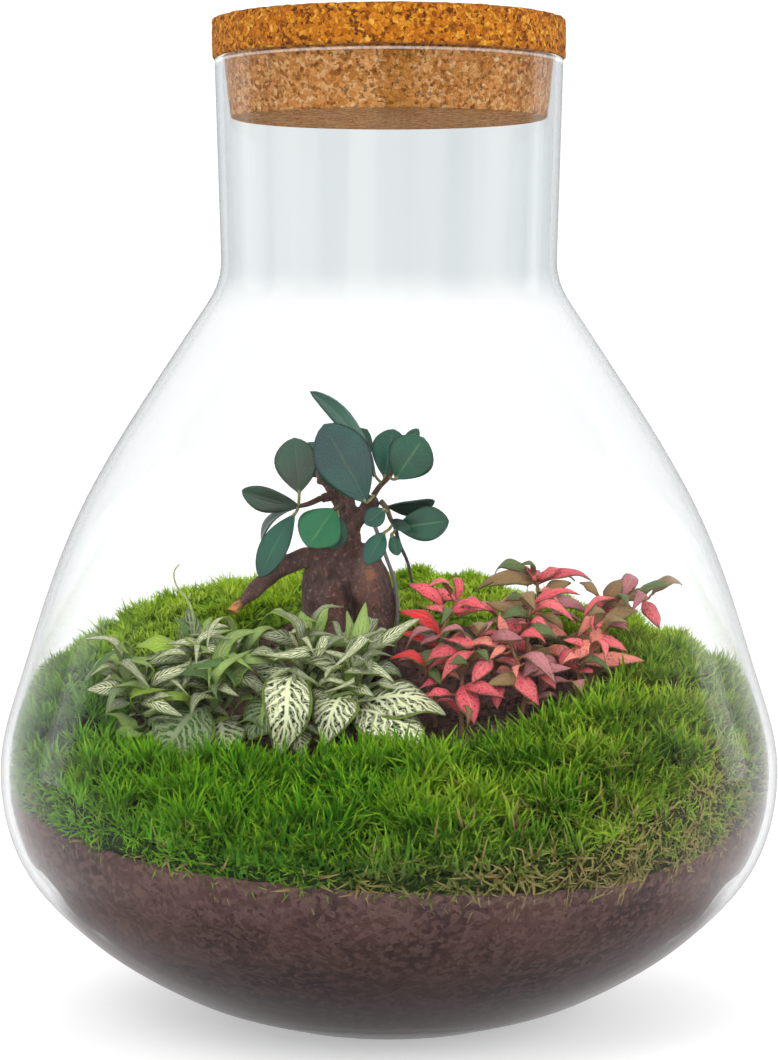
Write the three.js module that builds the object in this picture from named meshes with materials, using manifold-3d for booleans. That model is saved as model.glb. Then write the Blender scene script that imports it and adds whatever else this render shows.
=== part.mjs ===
// Glass plant terrarium: a flask-shaped jar with a stepped cork stopper, planted in soil and moss.
// Millimetres, +Z up. The origin is the centre of the base and the front faces -Y.
// Angles round the jar start at the front and run toward +X.

import * as THREE from 'three';
import { mergeVertices } from 'three/addons/utils/BufferGeometryUtils.js';
import Module from 'manifold-3d';

const wasm = await Module();
wasm.setup();

const fullTurn = 2 * Math.PI;
const gap = 0.35;                 // clearance between neighbouring solids

// Jar
const sides = 36;
const jarHeight = 418;
const wall = 3.2;
const floorThickness = 8;
const baseRadius = 56;
const neckBottom = { radius: 72.9, z: 322.1 };
const rimRadius = 75.6;
const rimRound = 0.9;
const neckBend = 9;               // length of the bend between shoulder and neck, each way
const floorSlope = 1.9;           // run over rise of the glass where it meets the floor
const bellyOutline = [            // radius and height of the outside, from base edge to shoulder top
  [baseRadius, 0],
  [92, 12.5],
  [132, 37.6],
  [161.5, 71],
  [169.9, 112.8],
  [158.1, 158.8],
  [140.9, 208.9],
  [119.3, 250.7],
  [neckBottom.radius + 5.85, neckBottom.z - neckBend],
];

// Cork stopper
const flangeRadius = 76.9;
const flangeHeight = 17;
const plugTopRadius = 71.6;
const plugBottomRadius = 69;
const plugDepth = 25.8;
const corkRound = 1.4;

// Landscape, one row for each twelfth of a turn from the front: radius of the bare planting bed,
// height of the moss where the bed ends, height of the moss at the glass.
const bedAndMoss = [
  [74, 123, 91],
  [84, 127, 100],
  [100, 149, 124],
  [104, 158, 143],
  [66, 172, 152],
  [46, 176, 162],
  [40, 176, 166],
  [48, 180, 162],
  [66, 174, 152],
  [110, 150, 141],
  [112, 121, 120],
  [86, 119, 98],
];
// Same directions: extra rise of the moss half way out, height of the soil at the glass.
const riseAndSoilEdge = [
  [5, 83],
  [6, 80],
  [5, 92],
  [6, 102],
  [11, 106],
  [13, 110],
  [18, 112],
  [15, 111],
  [12, 108],
  [9, 104],
  [6, 96],
  [5, 88],
];
const bedCentreHeight = 132;
const bedCurl = 1.6;              // how late the bed rises toward the moss
const mossDepth = 9;              // where the moss meets the bed
const tuftHeight = 6;
const padSink = 1.5;              // the clumps are formed this much too deep, then cut to the soil
const padCount = 9;
const padRings = 5;
const padColumns = sides / padCount;
const padTrim = 0.006;            // radians left free at each side of a clump
const padLip = 0.8;               // the top edge of a clump stands back this far from the bed
const pads = [                    // clumps of moss from the front toward +X
  ['front', 0x3d7d10],
  ['front_right', 0x6f9320],
  ['right', 0x6c7f2c],
  ['right_rear', 0x55851c],
  ['rear_right', 0x5f9a22],
  ['rear_left', 0x67a023],
  ['left_rear', 0x5f9a22],
  ['left', 0x4f8a2e],
  ['front_left', 0x3f7f1a],
];

// Stems and roots
const rootDepth = 8;
const longLeaf = 15;              // blades longer than this take one more bend
const shortStalk = 3.5;           // blades that start closer than this to the stem grow straight from it
const trunkFootRadius = 13;
const trunkCentre = [-19, 2];
const trunkDepth = 10;
const trunkFaces = 16;
const airRootRadius = 0.9;

// Solids from geometry
function closedSolid(geometry) {
  geometry.deleteAttribute('normal');
  geometry.deleteAttribute('uv');
  geometry.clearGroups();
  const merged = mergeVertices(geometry, 1e-3);
  const position = merged.attributes.position;
  const index = merged.index.array;
  const corners = [0, 1, 2].map(() => new THREE.Vector3());
  const triangles = [];
  let volume = 0;
  for (let i = 0; i < index.length; i += 3) {
    const [a, b, c] = index.slice(i, i + 3);
    if (a === b || b === c || c === a) continue;
    triangles.push(a, b, c);
    [a, b, c].forEach((vertex, k) => corners[k].fromBufferAttribute(position, vertex));
    volume += corners[0].dot(corners[1].clone().cross(corners[2]));
  }
  if (volume < 0) triangles.reverse();
  return new wasm.Manifold(new wasm.Mesh({
    numProp: 3,
    vertProperties: new Float32Array(position.array),
    triVerts: new Uint32Array(triangles),
  }));
}

function joined(solids) {
  return solids.reduce((whole, solid) => whole.add(solid));
}

// The largest body, without the scraps that a cut can leave
function mainBody(solid) {
  return solid.decompose().reduce((most, body) => (body.volume() > most.volume() ? body : most));
}

function lathe(profile) {
  const points = profile.map(([radius, z]) => new THREE.Vector2(radius, z));
  return new THREE.LatheGeometry(points, sides).rotateX(Math.PI / 2);
}

function tube(points, radius, steps, faces) {
  const path = new THREE.CatmullRomCurve3(points.map((point) => new THREE.Vector3(...point)));
  const section = new THREE.Shape();
  for (let i = 0; i < faces; i += 1) {
    const angle = (i / faces) * fullTurn;
    const place = [radius * Math.cos(angle), radius * Math.sin(angle)];
    if (i === 0) section.moveTo(...place);
    else section.lineTo(...place);
  }
  return closedSolid(new THREE.ExtrudeGeometry(section, { steps, bevelEnabled: false, extrudePath: path }));
}

function blob([x, y, z], [rx, ry, rz]) {
  const ball = new THREE.SphereGeometry(1, 10, 6).rotateX(Math.PI / 2);
  return closedSolid(ball.scale(rx, ry, rz).translate(x, y, z));
}

function peg([x, y], radius, low, high, faces) {
  const cylinder = new THREE.CylinderGeometry(radius, radius, high - low, faces);
  return closedSolid(cylinder.rotateX(Math.PI / 2).translate(x, y, (low + high) / 2));
}

// A closed sheet: place(row, column, face) gives each point, and both faces are split alike.
function sheet(rows, columns, place) {
  const points = [];
  const index = [];
  const at = (row, column, face) => (row * (columns + 1) + column) * 2 + face;
  for (let row = 0; row <= rows; row += 1) {
    for (let column = 0; column <= columns; column += 1) {
      points.push(...place(row, column, 0).toArray(), ...place(row, column, 1).toArray());
    }
  }
  for (let row = 0; row < rows; row += 1) {
    for (let column = 0; column < columns; column += 1) {
      for (const face of [0, 1]) {
        const [a, b] = [at(row, column, face), at(row, column + 1, face)];
        const [c, d] = [at(row + 1, column + 1, face), at(row + 1, column, face)];
        index.push(...(face === 0 ? [a, b, c, a, c, d] : [a, c, b, a, d, c]));
      }
    }
  }
  const rim = (r0, c0, r1, c1) => {
    const [a, b] = [at(r0, c0, 0), at(r1, c1, 0)];
    index.push(a, b + 1, a + 1, a, b, b + 1);
  };
  for (let row = 0; row < rows; row += 1) {
    rim(row, 0, row + 1, 0);
    rim(row + 1, columns, row, columns);
  }
  for (let column = 0; column < columns; column += 1) {
    rim(0, column + 1, 0, column);
    rim(rows, column, rows, column + 1);
  }
  const geometry = new THREE.BufferGeometry();
  geometry.setAttribute('position', new THREE.Float32BufferAttribute(points, 3));
  geometry.setIndex(index);
  return closedSolid(geometry);
}

// Small seeded noise, the same on every run
function noise(seed) {
  const wave = Math.sin(seed * 12.9898) * 43758.5453;
  return wave - Math.floor(wave);
}

// Jar profile
function outerProfile() {
  const belly = new THREE.SplineCurve(bellyOutline.map((point) => new THREE.Vector2(...point))).getPoints(12);
  const corner = new THREE.Vector2(neckBottom.radius, neckBottom.z);
  const neckStart = new THREE.Vector2(neckBottom.radius + 0.2, neckBottom.z + neckBend);
  const bend = new THREE.QuadraticBezierCurve(belly.at(-1), corner, neckStart).getPoints(2).slice(1);
  return [...belly, ...bend, new THREE.Vector2(rimRadius, jarHeight - rimRound)];
}

const outer = outerProfile();
const inner = outer.map((point, i) => {
  const along = outer[Math.min(i + 1, outer.length - 1)].clone().sub(outer[Math.max(i - 1, 0)]).normalize();
  return new THREE.Vector2(point.x - along.y * wall, point.y + along.x * wall);
}).filter((point) => point.y > floorThickness + 2);

function innerRadius(z) {
  const i = inner.findIndex((point) => point.y > z);
  if (i < 0) return inner.at(-1).x;
  if (i === 0) return inner[0].x - (inner[0].y - z) * floorSlope;
  const share = (z - inner[i - 1].y) / (inner[i].y - inner[i - 1].y);
  return THREE.MathUtils.lerp(inner[i - 1].x, inner[i].x, share);
}

function jarSolid() {
  const outside = outer.map((point) => [point.x, point.y]);
  const inside = inner.slice(0, -1).reverse().map((point) => [point.x, point.y]);
  const rim = [
    [rimRadius - rimRound, jarHeight],
    [rimRadius - wall + rimRound, jarHeight],
    [rimRadius - wall, jarHeight - rimRound],
  ];
  const floor = [[innerRadius(floorThickness), floorThickness], [0, floorThickness]];
  return closedSolid(lathe([[0, 0], ...outside, ...rim, ...inside, ...floor]));
}

function corkSolid() {
  const top = jarHeight + flangeHeight;
  return closedSolid(lathe([
    [0, jarHeight - plugDepth],
    [plugBottomRadius - corkRound, jarHeight - plugDepth],
    [plugBottomRadius, jarHeight - plugDepth + corkRound],
    [plugTopRadius, jarHeight],
    [flangeRadius - corkRound, jarHeight],
    [flangeRadius, jarHeight + corkRound],
    [flangeRadius, top - corkRound],
    [flangeRadius - corkRound, top],
    [0, top],
  ]));
}

// Landscape heights
function loop(rows) {
  return new THREE.CatmullRomCurve3(rows.map(([a, b, c = 0]) => new THREE.Vector3(a, b, c)), true);
}

const bedCurve = loop(bedAndMoss);
const edgeCurve = loop(riseAndSoilEdge);
const turnShare = (angle) => (((angle / fullTurn) % 1) + 1) % 1;

function land(angle) {
  const bed = bedCurve.getPoint(turnShare(angle));
  const edge = edgeCurve.getPoint(turnShare(angle));
  return {
    bedRadius: bed.x,
    mossInner: bed.y,
    mossEdge: bed.z,
    rise: edge.x,
    soilEdge: edge.y,
    soilEdgeRadius: innerRadius(edge.y) - gap,
    mossEdgeRadius: innerRadius(bed.z) - 2 * gap,
  };
}

function mossHeight(here, out) {
  return THREE.MathUtils.lerp(here.mossInner, here.mossEdge, out) + here.rise * Math.sin(Math.PI * out);
}

function soilUnderMoss(here, out) {
  const depth = THREE.MathUtils.lerp(mossDepth, here.mossEdge - here.soilEdge, out ** 2);
  return mossHeight(here, out) - depth;
}

function soilInBed(here, share) {
  return THREE.MathUtils.lerp(bedCentreHeight, here.mossInner - mossDepth, share ** bedCurl);
}

function polar(x, y) {
  return { angle: Math.atan2(x, -y), radius: Math.hypot(x, y) };
}

function soilTop(x, y) {
  const { angle, radius } = polar(x, y);
  const here = land(angle);
  if (radius < here.bedRadius) return soilInBed(here, radius / here.bedRadius);
  return soilUnderMoss(here, Math.min(1, (radius - here.bedRadius) / (here.soilEdgeRadius - here.bedRadius)));
}

// The highest that anything on the ground reaches there
function groundTop(x, y) {
  const { angle, radius } = polar(x, y);
  const here = land(angle);
  if (radius < here.bedRadius - 1) return soilTop(x, y);
  const out = THREE.MathUtils.clamp((radius - here.bedRadius) / (here.mossEdgeRadius - here.bedRadius), 0, 1);
  return mossHeight(here, out) + tuftHeight;
}

function placeOnTurn(angle, radius, z) {
  return new THREE.Vector3(radius * Math.sin(angle), -radius * Math.cos(angle), z);
}

// Soil: rings under the ground follow the glass, then rings under the moss, then rings in the bed
function soilSolid(lift = 0) {
  const [wallRings, mossRings, bedRings] = [5, 5, 3];
  const rings = wallRings + mossRings + bedRings + 2;
  const geometry = lathe(Array.from({ length: rings }, (_, ring) => [ring % (rings - 1) ? 1 : 0, ring]));
  const position = geometry.attributes.position;
  const low = floorThickness + gap;
  for (let vertex = 0; vertex < position.count; vertex += 1) {
    const ring = vertex % rings;
    const angle = (Math.floor(vertex / rings) / sides) * fullTurn;
    const here = land(angle);
    let radius = 0;
    let z = ring === 0 ? low : bedCentreHeight;
    if (ring > 0 && ring <= wallRings) {
      z = THREE.MathUtils.lerp(low, here.soilEdge, (ring - 1) / (wallRings - 1));
      radius = innerRadius(z) - gap;
    } else if (ring > wallRings && ring <= wallRings + mossRings) {
      const out = 1 - (ring - wallRings) / mossRings;
      radius = THREE.MathUtils.lerp(here.bedRadius, here.soilEdgeRadius, out);
      z = soilUnderMoss(here, out);
    } else if (ring > wallRings + mossRings && ring < rings - 1) {
      const share = (rings - 1 - ring) / (bedRings + 1);
      radius = here.bedRadius * share;
      z = soilInBed(here, share);
    }
    position.setXYZ(vertex, ...placeOnTurn(angle, radius, z + lift).toArray());
  }
  return closedSolid(geometry);
}

// One clump of moss: a sector from the bed to the glass, its top raised in tufts
function mossPad(number, liftedSoil) {
  const width = fullTurn / padCount;
  const start = (number - 0.5) * width;
  const pad = sheet(padRings, padColumns, (row, column, face) => {
    const angle = start + padTrim + (column / padColumns) * (width - 2 * padTrim);
    const here = land(angle);
    const out = row / padRings;
    if (face === 1) {
      const edgeRadius = innerRadius(here.soilEdge - padSink) - 3 * gap;
      const radius = THREE.MathUtils.lerp(here.bedRadius, edgeRadius, out);
      return placeOnTurn(angle, radius, soilUnderMoss(here, out) - padSink);
    }
    const radius = THREE.MathUtils.lerp(here.bedRadius + padLip, here.mossEdgeRadius, out);
    const inside = row > 0 && row < padRings && column > 0 && column < padColumns;
    const seed = number * 101 + row * 13 + column * 7;
    const raised = (row + column) % 2 === 1;
    const tuft = tuftHeight * (raised ? 0.6 + 0.4 * noise(seed) : -0.4 * noise(seed));
    const lift = inside ? tuft : -padSink;
    return placeOnTurn(angle, radius, mossHeight(here, out) + lift);
  });
  return mainBody(pad.subtract(liftedSoil));
}

// A blade on its stalk. Row: base, tip, width, turn about its length in degrees, bow.
function leaf(row, style, stemPoints) {
  const tip = new THREE.Vector3(...row.slice(3, 6));
  const [width, turn, bow] = row.slice(6);
  let base = new THREE.Vector3(...row.slice(0, 3));
  const closer = (a, b) => (b.distanceTo(base) < a.distanceTo(base) ? b : a);
  const root = stemPoints.reduce(closer);
  const stalked = root.distanceTo(base) > shortStalk;
  if (!stalked) base = root;
  const along = tip.clone().sub(base);
  const length = along.length();
  along.normalize();
  const facing = new THREE.Vector3(...style.facing);
  facing.addScaledVector(along, -facing.dot(along)).normalize();
  facing.applyAxisAngle(along, THREE.MathUtils.degToRad(turn));
  const across = along.clone().cross(facing);
  const stations = length > longLeaf ? [0, 0.28, 0.66, 1] : [0, 0.45, 1];
  const blade = sheet(stations.length - 1, 2, (station, column, face) => {
    const u = stations[station];
    const shape = Math.sin(Math.PI * u ** style.widest) ** style.fullness;
    const half = Math.max(u === 1 ? 0 : style.stalk, (shape * width) / 2);
    const side = (column - 1) * (u === 1 ? 0 : half);
    const point = base.clone().addScaledVector(along, length * u).addScaledVector(across, side);
    point.addScaledVector(facing, length * bow * 4 * u * (1 - u) + Math.abs(side) * style.fold);
    if (face === 1) point.addScaledVector(facing, -style.thickness);
    const rest = groundTop(point.x, point.y) + 1 + (1 - face) * style.thickness;
    point.z = Math.max(point.z, rest);
    return point;
  });
  if (!stalked) return blade;
  const sunk = 1.2;
  const first = stations[1];
  const rise = (sunk / length / first) * length * bow * 4 * first * (1 - first) - style.thickness / 2;
  const end = base.clone().addScaledVector(along, sunk).addScaledVector(facing, rise);
  const stalk = tube([root.toArray(), end.toArray()], style.stalk, 1, 3);
  return blade.add(stalk);
}

function leafyStem(stem, style) {
  const [x, y] = stem.points[0];
  const ground = soilTop(x, y);
  const rooted = stem.points[0].length === 2;
  const inSoil = [[x, y, ground - rootDepth], [x, y, ground - 3], [x, y, ground + 2]];
  const points = [...(rooted ? inSoil : [stem.points[0]]), ...stem.points.slice(1)];
  const path = new THREE.CatmullRomCurve3(points.map((point) => new THREE.Vector3(...point)));
  const near = path.getPoints(40).slice(rooted ? 14 : 2, -2);
  const steps = rooted ? 7 : 4;
  const hanging = stem.hanging ? [tube(stem.hanging, airRootRadius, 5, 4)] : [];
  return joined([
    tube(points, style.stem, steps, 4),
    ...hanging,
    ...stem.leaves.map((row) => leaf(row, style, near)),
  ]);
}

// Plants: how the blades of each are formed
const ficusStyle = {
  facing: [0, -1, 0.15], widest: 1.1, fullness: 0.62, fold: 0.1, thickness: 0.9, stalk: 0.8, stem: 1.3,
};
const fittoniaStyle = {
  facing: [0, -0.6, 0.8], widest: 0.85, fullness: 0.8, fold: -0.12, thickness: 0.7, stalk: 0.6, stem: 1.1,
};

// Leaf rows give base x, y, z, tip x, y, z, width, turn and bow
const ficusShoots = {
  ficus_shoot_left: {
    points: [[-29.9, -2.8, 227.2], [-35, -6, 225], [-40, -10, 224]],
    leaves: [
      [-39, -12, 230, -41, -14, 254, 19, 0, 0.06],
      [-40, -9, 226, -64, -12, 231, 12, -30, 0.08],
      [-41, -12, 221, -56, -20, 194, 12.5, 10, 0.12],
      [-40, -8, 222, -56, 3, 205, 8, 60, 0.2],
    ],
  },
  ficus_shoot_front: {
    points: [[-20.6, -7.4, 225.4], [-22, -11, 224], [-24, -15, 223]],
    leaves: [
      [-24, -16, 223, -35, -27, 208, 20, 0, 0.05],
      [-22, -12, 220, -25, -18, 206, 12, 0, 0.1],
    ],
  },
  ficus_shoot_top: {
    points: [[-6.75, -2.1, 228.4], [-4, -3, 232.5], [1, -3, 238], [6, 6, 249]],
    leaves: [
      [-10, -14, 226, -28, -20, 260, 25, 0, 0.06],
      [-6, -4, 237, -34, -12, 274, 14, 55, 0.08],
      [-2, 4, 236, 2, 8, 257, 16, 0, 0.05],
      [3, -10, 236, 15, -14, 254, 21, 0, 0.08],
      [6, 6, 249, 13, 8, 257, 6, 0, 0],
    ],
  },
  ficus_shoot_right: {
    points: [[-3.5, -6, 226], [-1, -8, 223], [1, -9, 218], [4, -8, 214]],
    hanging: [[2.5, -8.6, 216], [4.5, -9, 208], [8, -10, 200], [10, -11, 191]],
    leaves: [
      [1, -6, 225, 20, -8, 226, 10, 55, 0.1],
      [5, -8, 213, 26, -14, 218, 15.5, 0, 0.05],
      [-2, -14, 223, -10, -20, 217, 9, 0, 0.1],
      [-2, -14, 213, -10, -22, 200, 9.5, 0, 0.15],
      [1, -12, 212, 4, -14, 203, 6, 0, 0.1],
      [3, -10, 219, 9, -16, 214, 5, 0, 0.1],
    ],
  },
  ficus_shoot_back: {
    points: [[-25, 9.5, 235], [-25, 14, 238], [-23, 18, 241]],
    leaves: [
      [-28, 14, 238, -33, 17, 248, 10, 0, 0.05],
      [-22, 19, 242, -10, 30, 256, 17, 170, 0.06],
      [-25, 19, 240, -44, 32, 244, 16, 160, 0.08],
      [-22, 18, 238, -14, 34, 226, 15, 180, 0.1],
    ],
  },
};

const whiteStems = {
  white_fittonia_stem_1: {
    points: [[-15, -45], [-15, -44, 148], [-15, -40, 157]],
    leaves: [
      [-14, -48, 140, 15, -66, 127, 30, -10, 0.15],
      [-12, -46, 143, 24, -50, 138, 26, 0, 0.15],
      [-18, -44, 148, -44, -46, 159, 18, 0, 0.25],
      [-15, -48, 142, -18, -50, 164, 8, 0, 0.1],
      [-15, -40, 152, -10, -38, 185, 8, 0, 0.05],
      [-16, -40, 156, -18, -36, 181, 6, 0, 0.1],
      [-12, -40, 157, -2, -38, 172, 14, 0, 0.1],
      [-8, -40, 162, 13, -40, 178, 7, 0, 0.1],
      [-18, -48, 147, -27, -64, 127, 20, 0, 0.2],
    ],
  },
  white_fittonia_stem_2: {
    points: [[-38, -46], [-37, -46, 142], [-36, -42, 157], [-33, -33, 164]],
    leaves: [
      [-38, -49, 156, -48, -69, 122, 22, 0, 0.25],
      [-42, -40, 148, -61, -40, 157, 16, 0, 0.2],
      [-44, -44, 144, -59, -56, 128, 22, 0, 0.2],
      [-39, -50, 134, -36, -60, 122, 12, 0, 0.15],
      [-34, -33, 162, -19, -32, 168, 12, 0, 0.15],
      [-34, -34, 161, -38, -26, 180, 9, 0, 0.15],
      [-33, -32, 164, -24, -26, 183, 8, 0, 0.15],
      [-36, -38, 158, -52, -26, 162, 13, 0, 0.15],
    ],
  },
  white_fittonia_stem_3: {
    points: [[-72, -44], [-73, -45, 143], [-71, -43, 150], [-64, -37, 157]],
    leaves: [
      [-78, -47, 141, -97, -62, 122, 30, 0, 0.15],
      [-74, -46, 138, -67, -60, 120, 22, 0, 0.15],
      [-71, -45, 147, -52, -42, 173, 8, 0, 0.3],
      [-64, -37, 156, -54, -32, 173, 12, 0, 0.15],
      [-67, -45, 148, -57, -50, 161, 10, 0, 0.2],
      [-65, -36, 156, -74, -26, 166, 12, 0, 0.15],
      [-64, -34, 155, -56, -18, 158, 14, 0, 0.2],
    ],
  },
  white_fittonia_stem_4: {
    points: [[-85, -38], [-84, -40, 148], [-82, -37, 158]],
    leaves: [
      [-86, -41, 160, -107, -46, 167, 13, 0, 0.15],
      [-84, -42, 155, -106, -52, 158, 9, 0, 0.25],
      [-82, -37, 158, -86, -34, 182, 13, 0, 0.05],
      [-82, -36, 160, -76, -32, 178, 9, 0, 0.1],
      [-86, -42, 145, -99, -42, 150, 10, 0, 0.2],
      [-84, -34, 154, -88, -16, 160, 13, 0, 0.2],
    ],
  },
  white_fittonia_stem_5: {
    points: [[-98, -46], [-104, -50, 140], [-107, -50, 146], [-110, -45, 156]],
    leaves: [
      [-106, -54, 133, -118, -58, 140, 8, 0, 0.1],
      [-104, -57, 131, -114, -66, 133, 7, 0, 0.1],
      [-110, -45, 155, -123, -48, 161, 7, 0, 0.1],
      [-109, -44, 156, -114, -40, 168, 6, 0, 0.1],
      [-103, -51, 139, -96, -60, 141, 8, 0, 0.15],
      [-106, -44, 148, -104, -28, 156, 10, 0, 0.2],
    ],
  },
};

const pinkStems = {
  pink_fittonia_stem_1: {
    points: [[31, -40], [31, -41, 150], [35, -37, 162], [39, -32, 168]],
    leaves: [
      [31, -42, 150, 36, -52, 134, 10.5, 0, 0.12],
      [44, -40, 160, 35, -49, 151, 8, 0, 0.15],
      [36, -40, 164, 22, -48, 152, 7, 0, 0.25],
      [37, -35, 167, 25, -42, 169, 9.5, 0, 0.12],
      [30, -38, 164, 16, -44, 160, 8.5, 0, 0.15],
      [40, -32, 168, 45, -30, 176, 4, 0, 0.3],
    ],
  },
  pink_fittonia_stem_2: {
    points: [[57, -38], [58, -39, 150], [54, -36, 161], [50, -31, 170]],
    leaves: [
      [46, -40, 153, 46, -48, 140, 7, 0, 0.15],
      [52, -40, 156, 63, -50, 142, 9.5, 0, 0.12],
      [68, -37, 159, 56, -45, 152, 7.5, 0, 0.2],
      [63, -36, 158, 71, -43, 148, 7, 0, 0.12],
      [55, -32, 168, 67, -38, 167, 7, 0, 0.25],
      [49, -30, 170, 47, -30, 179, 5, 0, 0.1],
    ],
  },
  pink_fittonia_stem_3: {
    points: [[82, -30], [82, -31, 155], [85, -27, 163], [91, -20, 174]],
    leaves: [
      [86, -30, 157, 110, -34, 159, 8, 20, 0.12],
      [90, -24, 167, 102, -30, 163, 7, 0, 0.12],
      [85, -24, 169, 79, -32, 158, 8.5, 0, 0.12],
      [79, -29, 164, 73, -35, 156, 6, 0, 0.15],
      [89, -20, 172, 89, -29, 163, 7, 0, 0.12],
      [92, -16, 178, 88, -22, 170, 6.5, 0, 0.12],
      [80, -33, 156, 87, -40, 155, 5.5, 0, 0.1],
    ],
  },
  pink_fittonia_stem_4: {
    points: [[20, -28], [20, -29, 156], [23, -25, 171], [27, -19, 179], [30, -9, 184]],
    leaves: [
      [25, -28, 170, 13, -34, 166, 5, 0, 0.15],
      [17, -33, 158, 22, -41, 150, 5, 0, 0.1],
      [28, -19, 179, 37, -20, 184, 8, 0, 0.1],
      [27, -20, 178, 15, -23, 181, 5, 0, 0.2],
      [30, -8, 184, 21, -8, 188, 7, 0, 0.1],
      [16, -36, 155, 0, -43, 161, 7, 0, 0.2],
      [20, -26, 169, 4, -26, 180, 8, 0, 0.15],
      [19, -28, 165, 4, -31, 171, 6, 0, 0.1],
      [19, -31, 164, 13, -39, 156, 7, 0, 0.1],
      [30, -8, 183, 24, 6, 180, 8, 0, 0.15],
    ],
  },
  pink_fittonia_stem_5: {
    points: [[60, -17], [60, -18, 162], [60, -18, 175], [62, -11, 182]],
    leaves: [
      [60, -20, 176, 81, -26, 174, 6.5, 0, 0.3],
      [63, -11, 182, 83, -13, 186, 6, 0, 0.25],
      [58, -17, 178, 42, -20, 183, 8, 0, 0.1],
      [57, -18, 174, 46, -24, 170, 9, 0, 0.1],
      [58, -14, 172, 47, -6, 170, 9, 0, 0.15],
      [62, -12, 174, 74, -6, 172, 9, 0, 0.15],
    ],
  },
  pink_fittonia_stem_6: {
    points: [[67, 4], [67, 4, 170], [66, 6, 184], [65, 8, 192]],
    leaves: [
      [64, 6, 190, 44, 2, 188, 8, 0, 0.15],
      [63, 8, 192, 60, 1, 197, 8, 0, 0.1],
      [66, 8, 192, 76, 4, 196, 7, 0, 0.1],
      [62, 8, 189, 38, 10, 185, 6, 0, 0.25],
      [68, 4, 184, 80, 2, 190, 9, 0, 0.1],
      [69, 5, 180, 88, 4, 176, 8, 0, 0.15],
      [68, 8, 189, 90, 13, 190, 6, 0, 0.15],
      [66, 9, 190, 62, 24, 186, 9, 0, 0.2],
      [68, 9, 182, 80, 22, 178, 9, 0, 0.2],
      [63, 8, 178, 48, 20, 176, 9, 0, 0.2],
    ],
  },
  pink_fittonia_stem_7: {
    points: [[91, -4], [92, -4, 168], [95, -4, 181], [104, -5, 183], [112, -7, 183]],
    leaves: [
      [94, -4, 182, 102, -2, 192, 9, 0, 0.1],
      [112, -7, 183, 118, -12, 171, 7.5, 0, 0.15],
      [103, -4, 184, 114, -2, 188, 5, 0, 0.1],
      [94, -5, 176, 104, -11, 172, 6, 0, 0.15],
      [94, -2, 178, 96, 14, 180, 8, 0, 0.2],
      [92, -1, 172, 106, 8, 176, 8, 0, 0.2],
    ],
  },
};

// Ficus trunk: two swollen roots side by side, neck, branches, the root arm with its cut tip, a root
// that runs down to the soil and a thin air root along the right side
const rootLeg = { points: [[-28, -3, 168], [-37, -8, 153], [-41, -12, 139], [-43, -14, 127]], radius: 3.6 };
const airRoot = [[-9, -2, 222], [-5, -5, 212], [-1, -5, 201], [2.2, -2, 189], [3, -1, 174], [1.5, -1, 160]];

function trunkSolid() {
  const [x, y] = trunkCentre;
  const foot = soilTop(x, y) - trunkDepth;
  return joined([
    peg(trunkCentre, trunkFootRadius - gap, foot, 150, trunkFaces),
    blob([x + 7, y - 2, 173], [14.6, 14, 34]),
    blob([x - 8, y + 1, 181], [12, 12.5, 27]),
    blob([x - 1, y, 198], [17, 9.5, 10]),
    tube([[x, y - 1, 200], [x + 1, y, 213], [x, y + 1, 224], [x - 8, y + 1, 238]], 5.2, 5, 8),
    tube([[x - 8, y + 1, 233], [x - 9, y + 1, 243]], 5.2, 1, 9),
    tube([[x + 1, y, 213], [x + 8, y - 3, 221], [x + 12, y - 4, 228]], 3.4, 3, 8),
    tube([[x + 10, y - 5, 223], [x + 14.4, y - 7.6, 225.6]], 2, 1, 6),
    tube([[x + 4, y - 3, 217], [x - 1, y - 8, 224.6]], 2, 1, 6),
    tube([[x - 4, y, 229], [x - 10.5, y - 4.5, 227.3]], 2, 1, 6),
    tube([[x - 6, y + 2, 232], [x - 6, y + 7, 234.7]], 2, 1, 6),
    tube([[x - 2, y - 2, 199], [x - 18, y - 5, 201.5], [x - 33, y - 9, 193], [x - 47, y - 13, 181]], 3.8, 5, 7),
    tube([[x - 44, y - 12, 184.3], [x - 49.5, y - 14, 177.8]], 3.3, 1, 8),
    tube(rootLeg.points, rootLeg.radius, 5, 7),
    tube(airRoot, airRootRadius, 7, 4),
  ]);
}

const barkChip = { place: [17, -58], size: [9, 5, 6], turn: 0.5, radius: 0.62 };

// Solids of the whole terrarium, each with its colour and roughness
const solids = new Map();
solids.set('glass_jar', { solid: jarSolid(), color: 0xdfe9ea, roughness: 0.05 });
solids.set('cork_lid', { solid: corkSolid(), color: 0xc58449, roughness: 0.85 });

const liftedSoil = soilSolid(gap);
pads.forEach(([name, color], number) => {
  solids.set(`moss_${name}`, { solid: mossPad(number, liftedSoil), color, roughness: 0.9 });
});

solids.set('ficus_trunk', { solid: trunkSolid(), color: 0x6d5048, roughness: 0.75 });
const foliage = [
  [ficusShoots, ficusStyle, { color: 0x2f6a55, roughness: 0.45 }],
  [whiteStems, fittoniaStyle, { color: 0xa9bd8d, roughness: 0.6 }],
  [pinkStems, fittoniaStyle, { color: 0xe0606a, roughness: 0.6 }],
];
for (const [stems, style, look] of foliage) {
  for (const [name, stem] of Object.entries(stems)) {
    solids.set(name, { solid: leafyStem(stem, style), ...look });
  }
}

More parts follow.
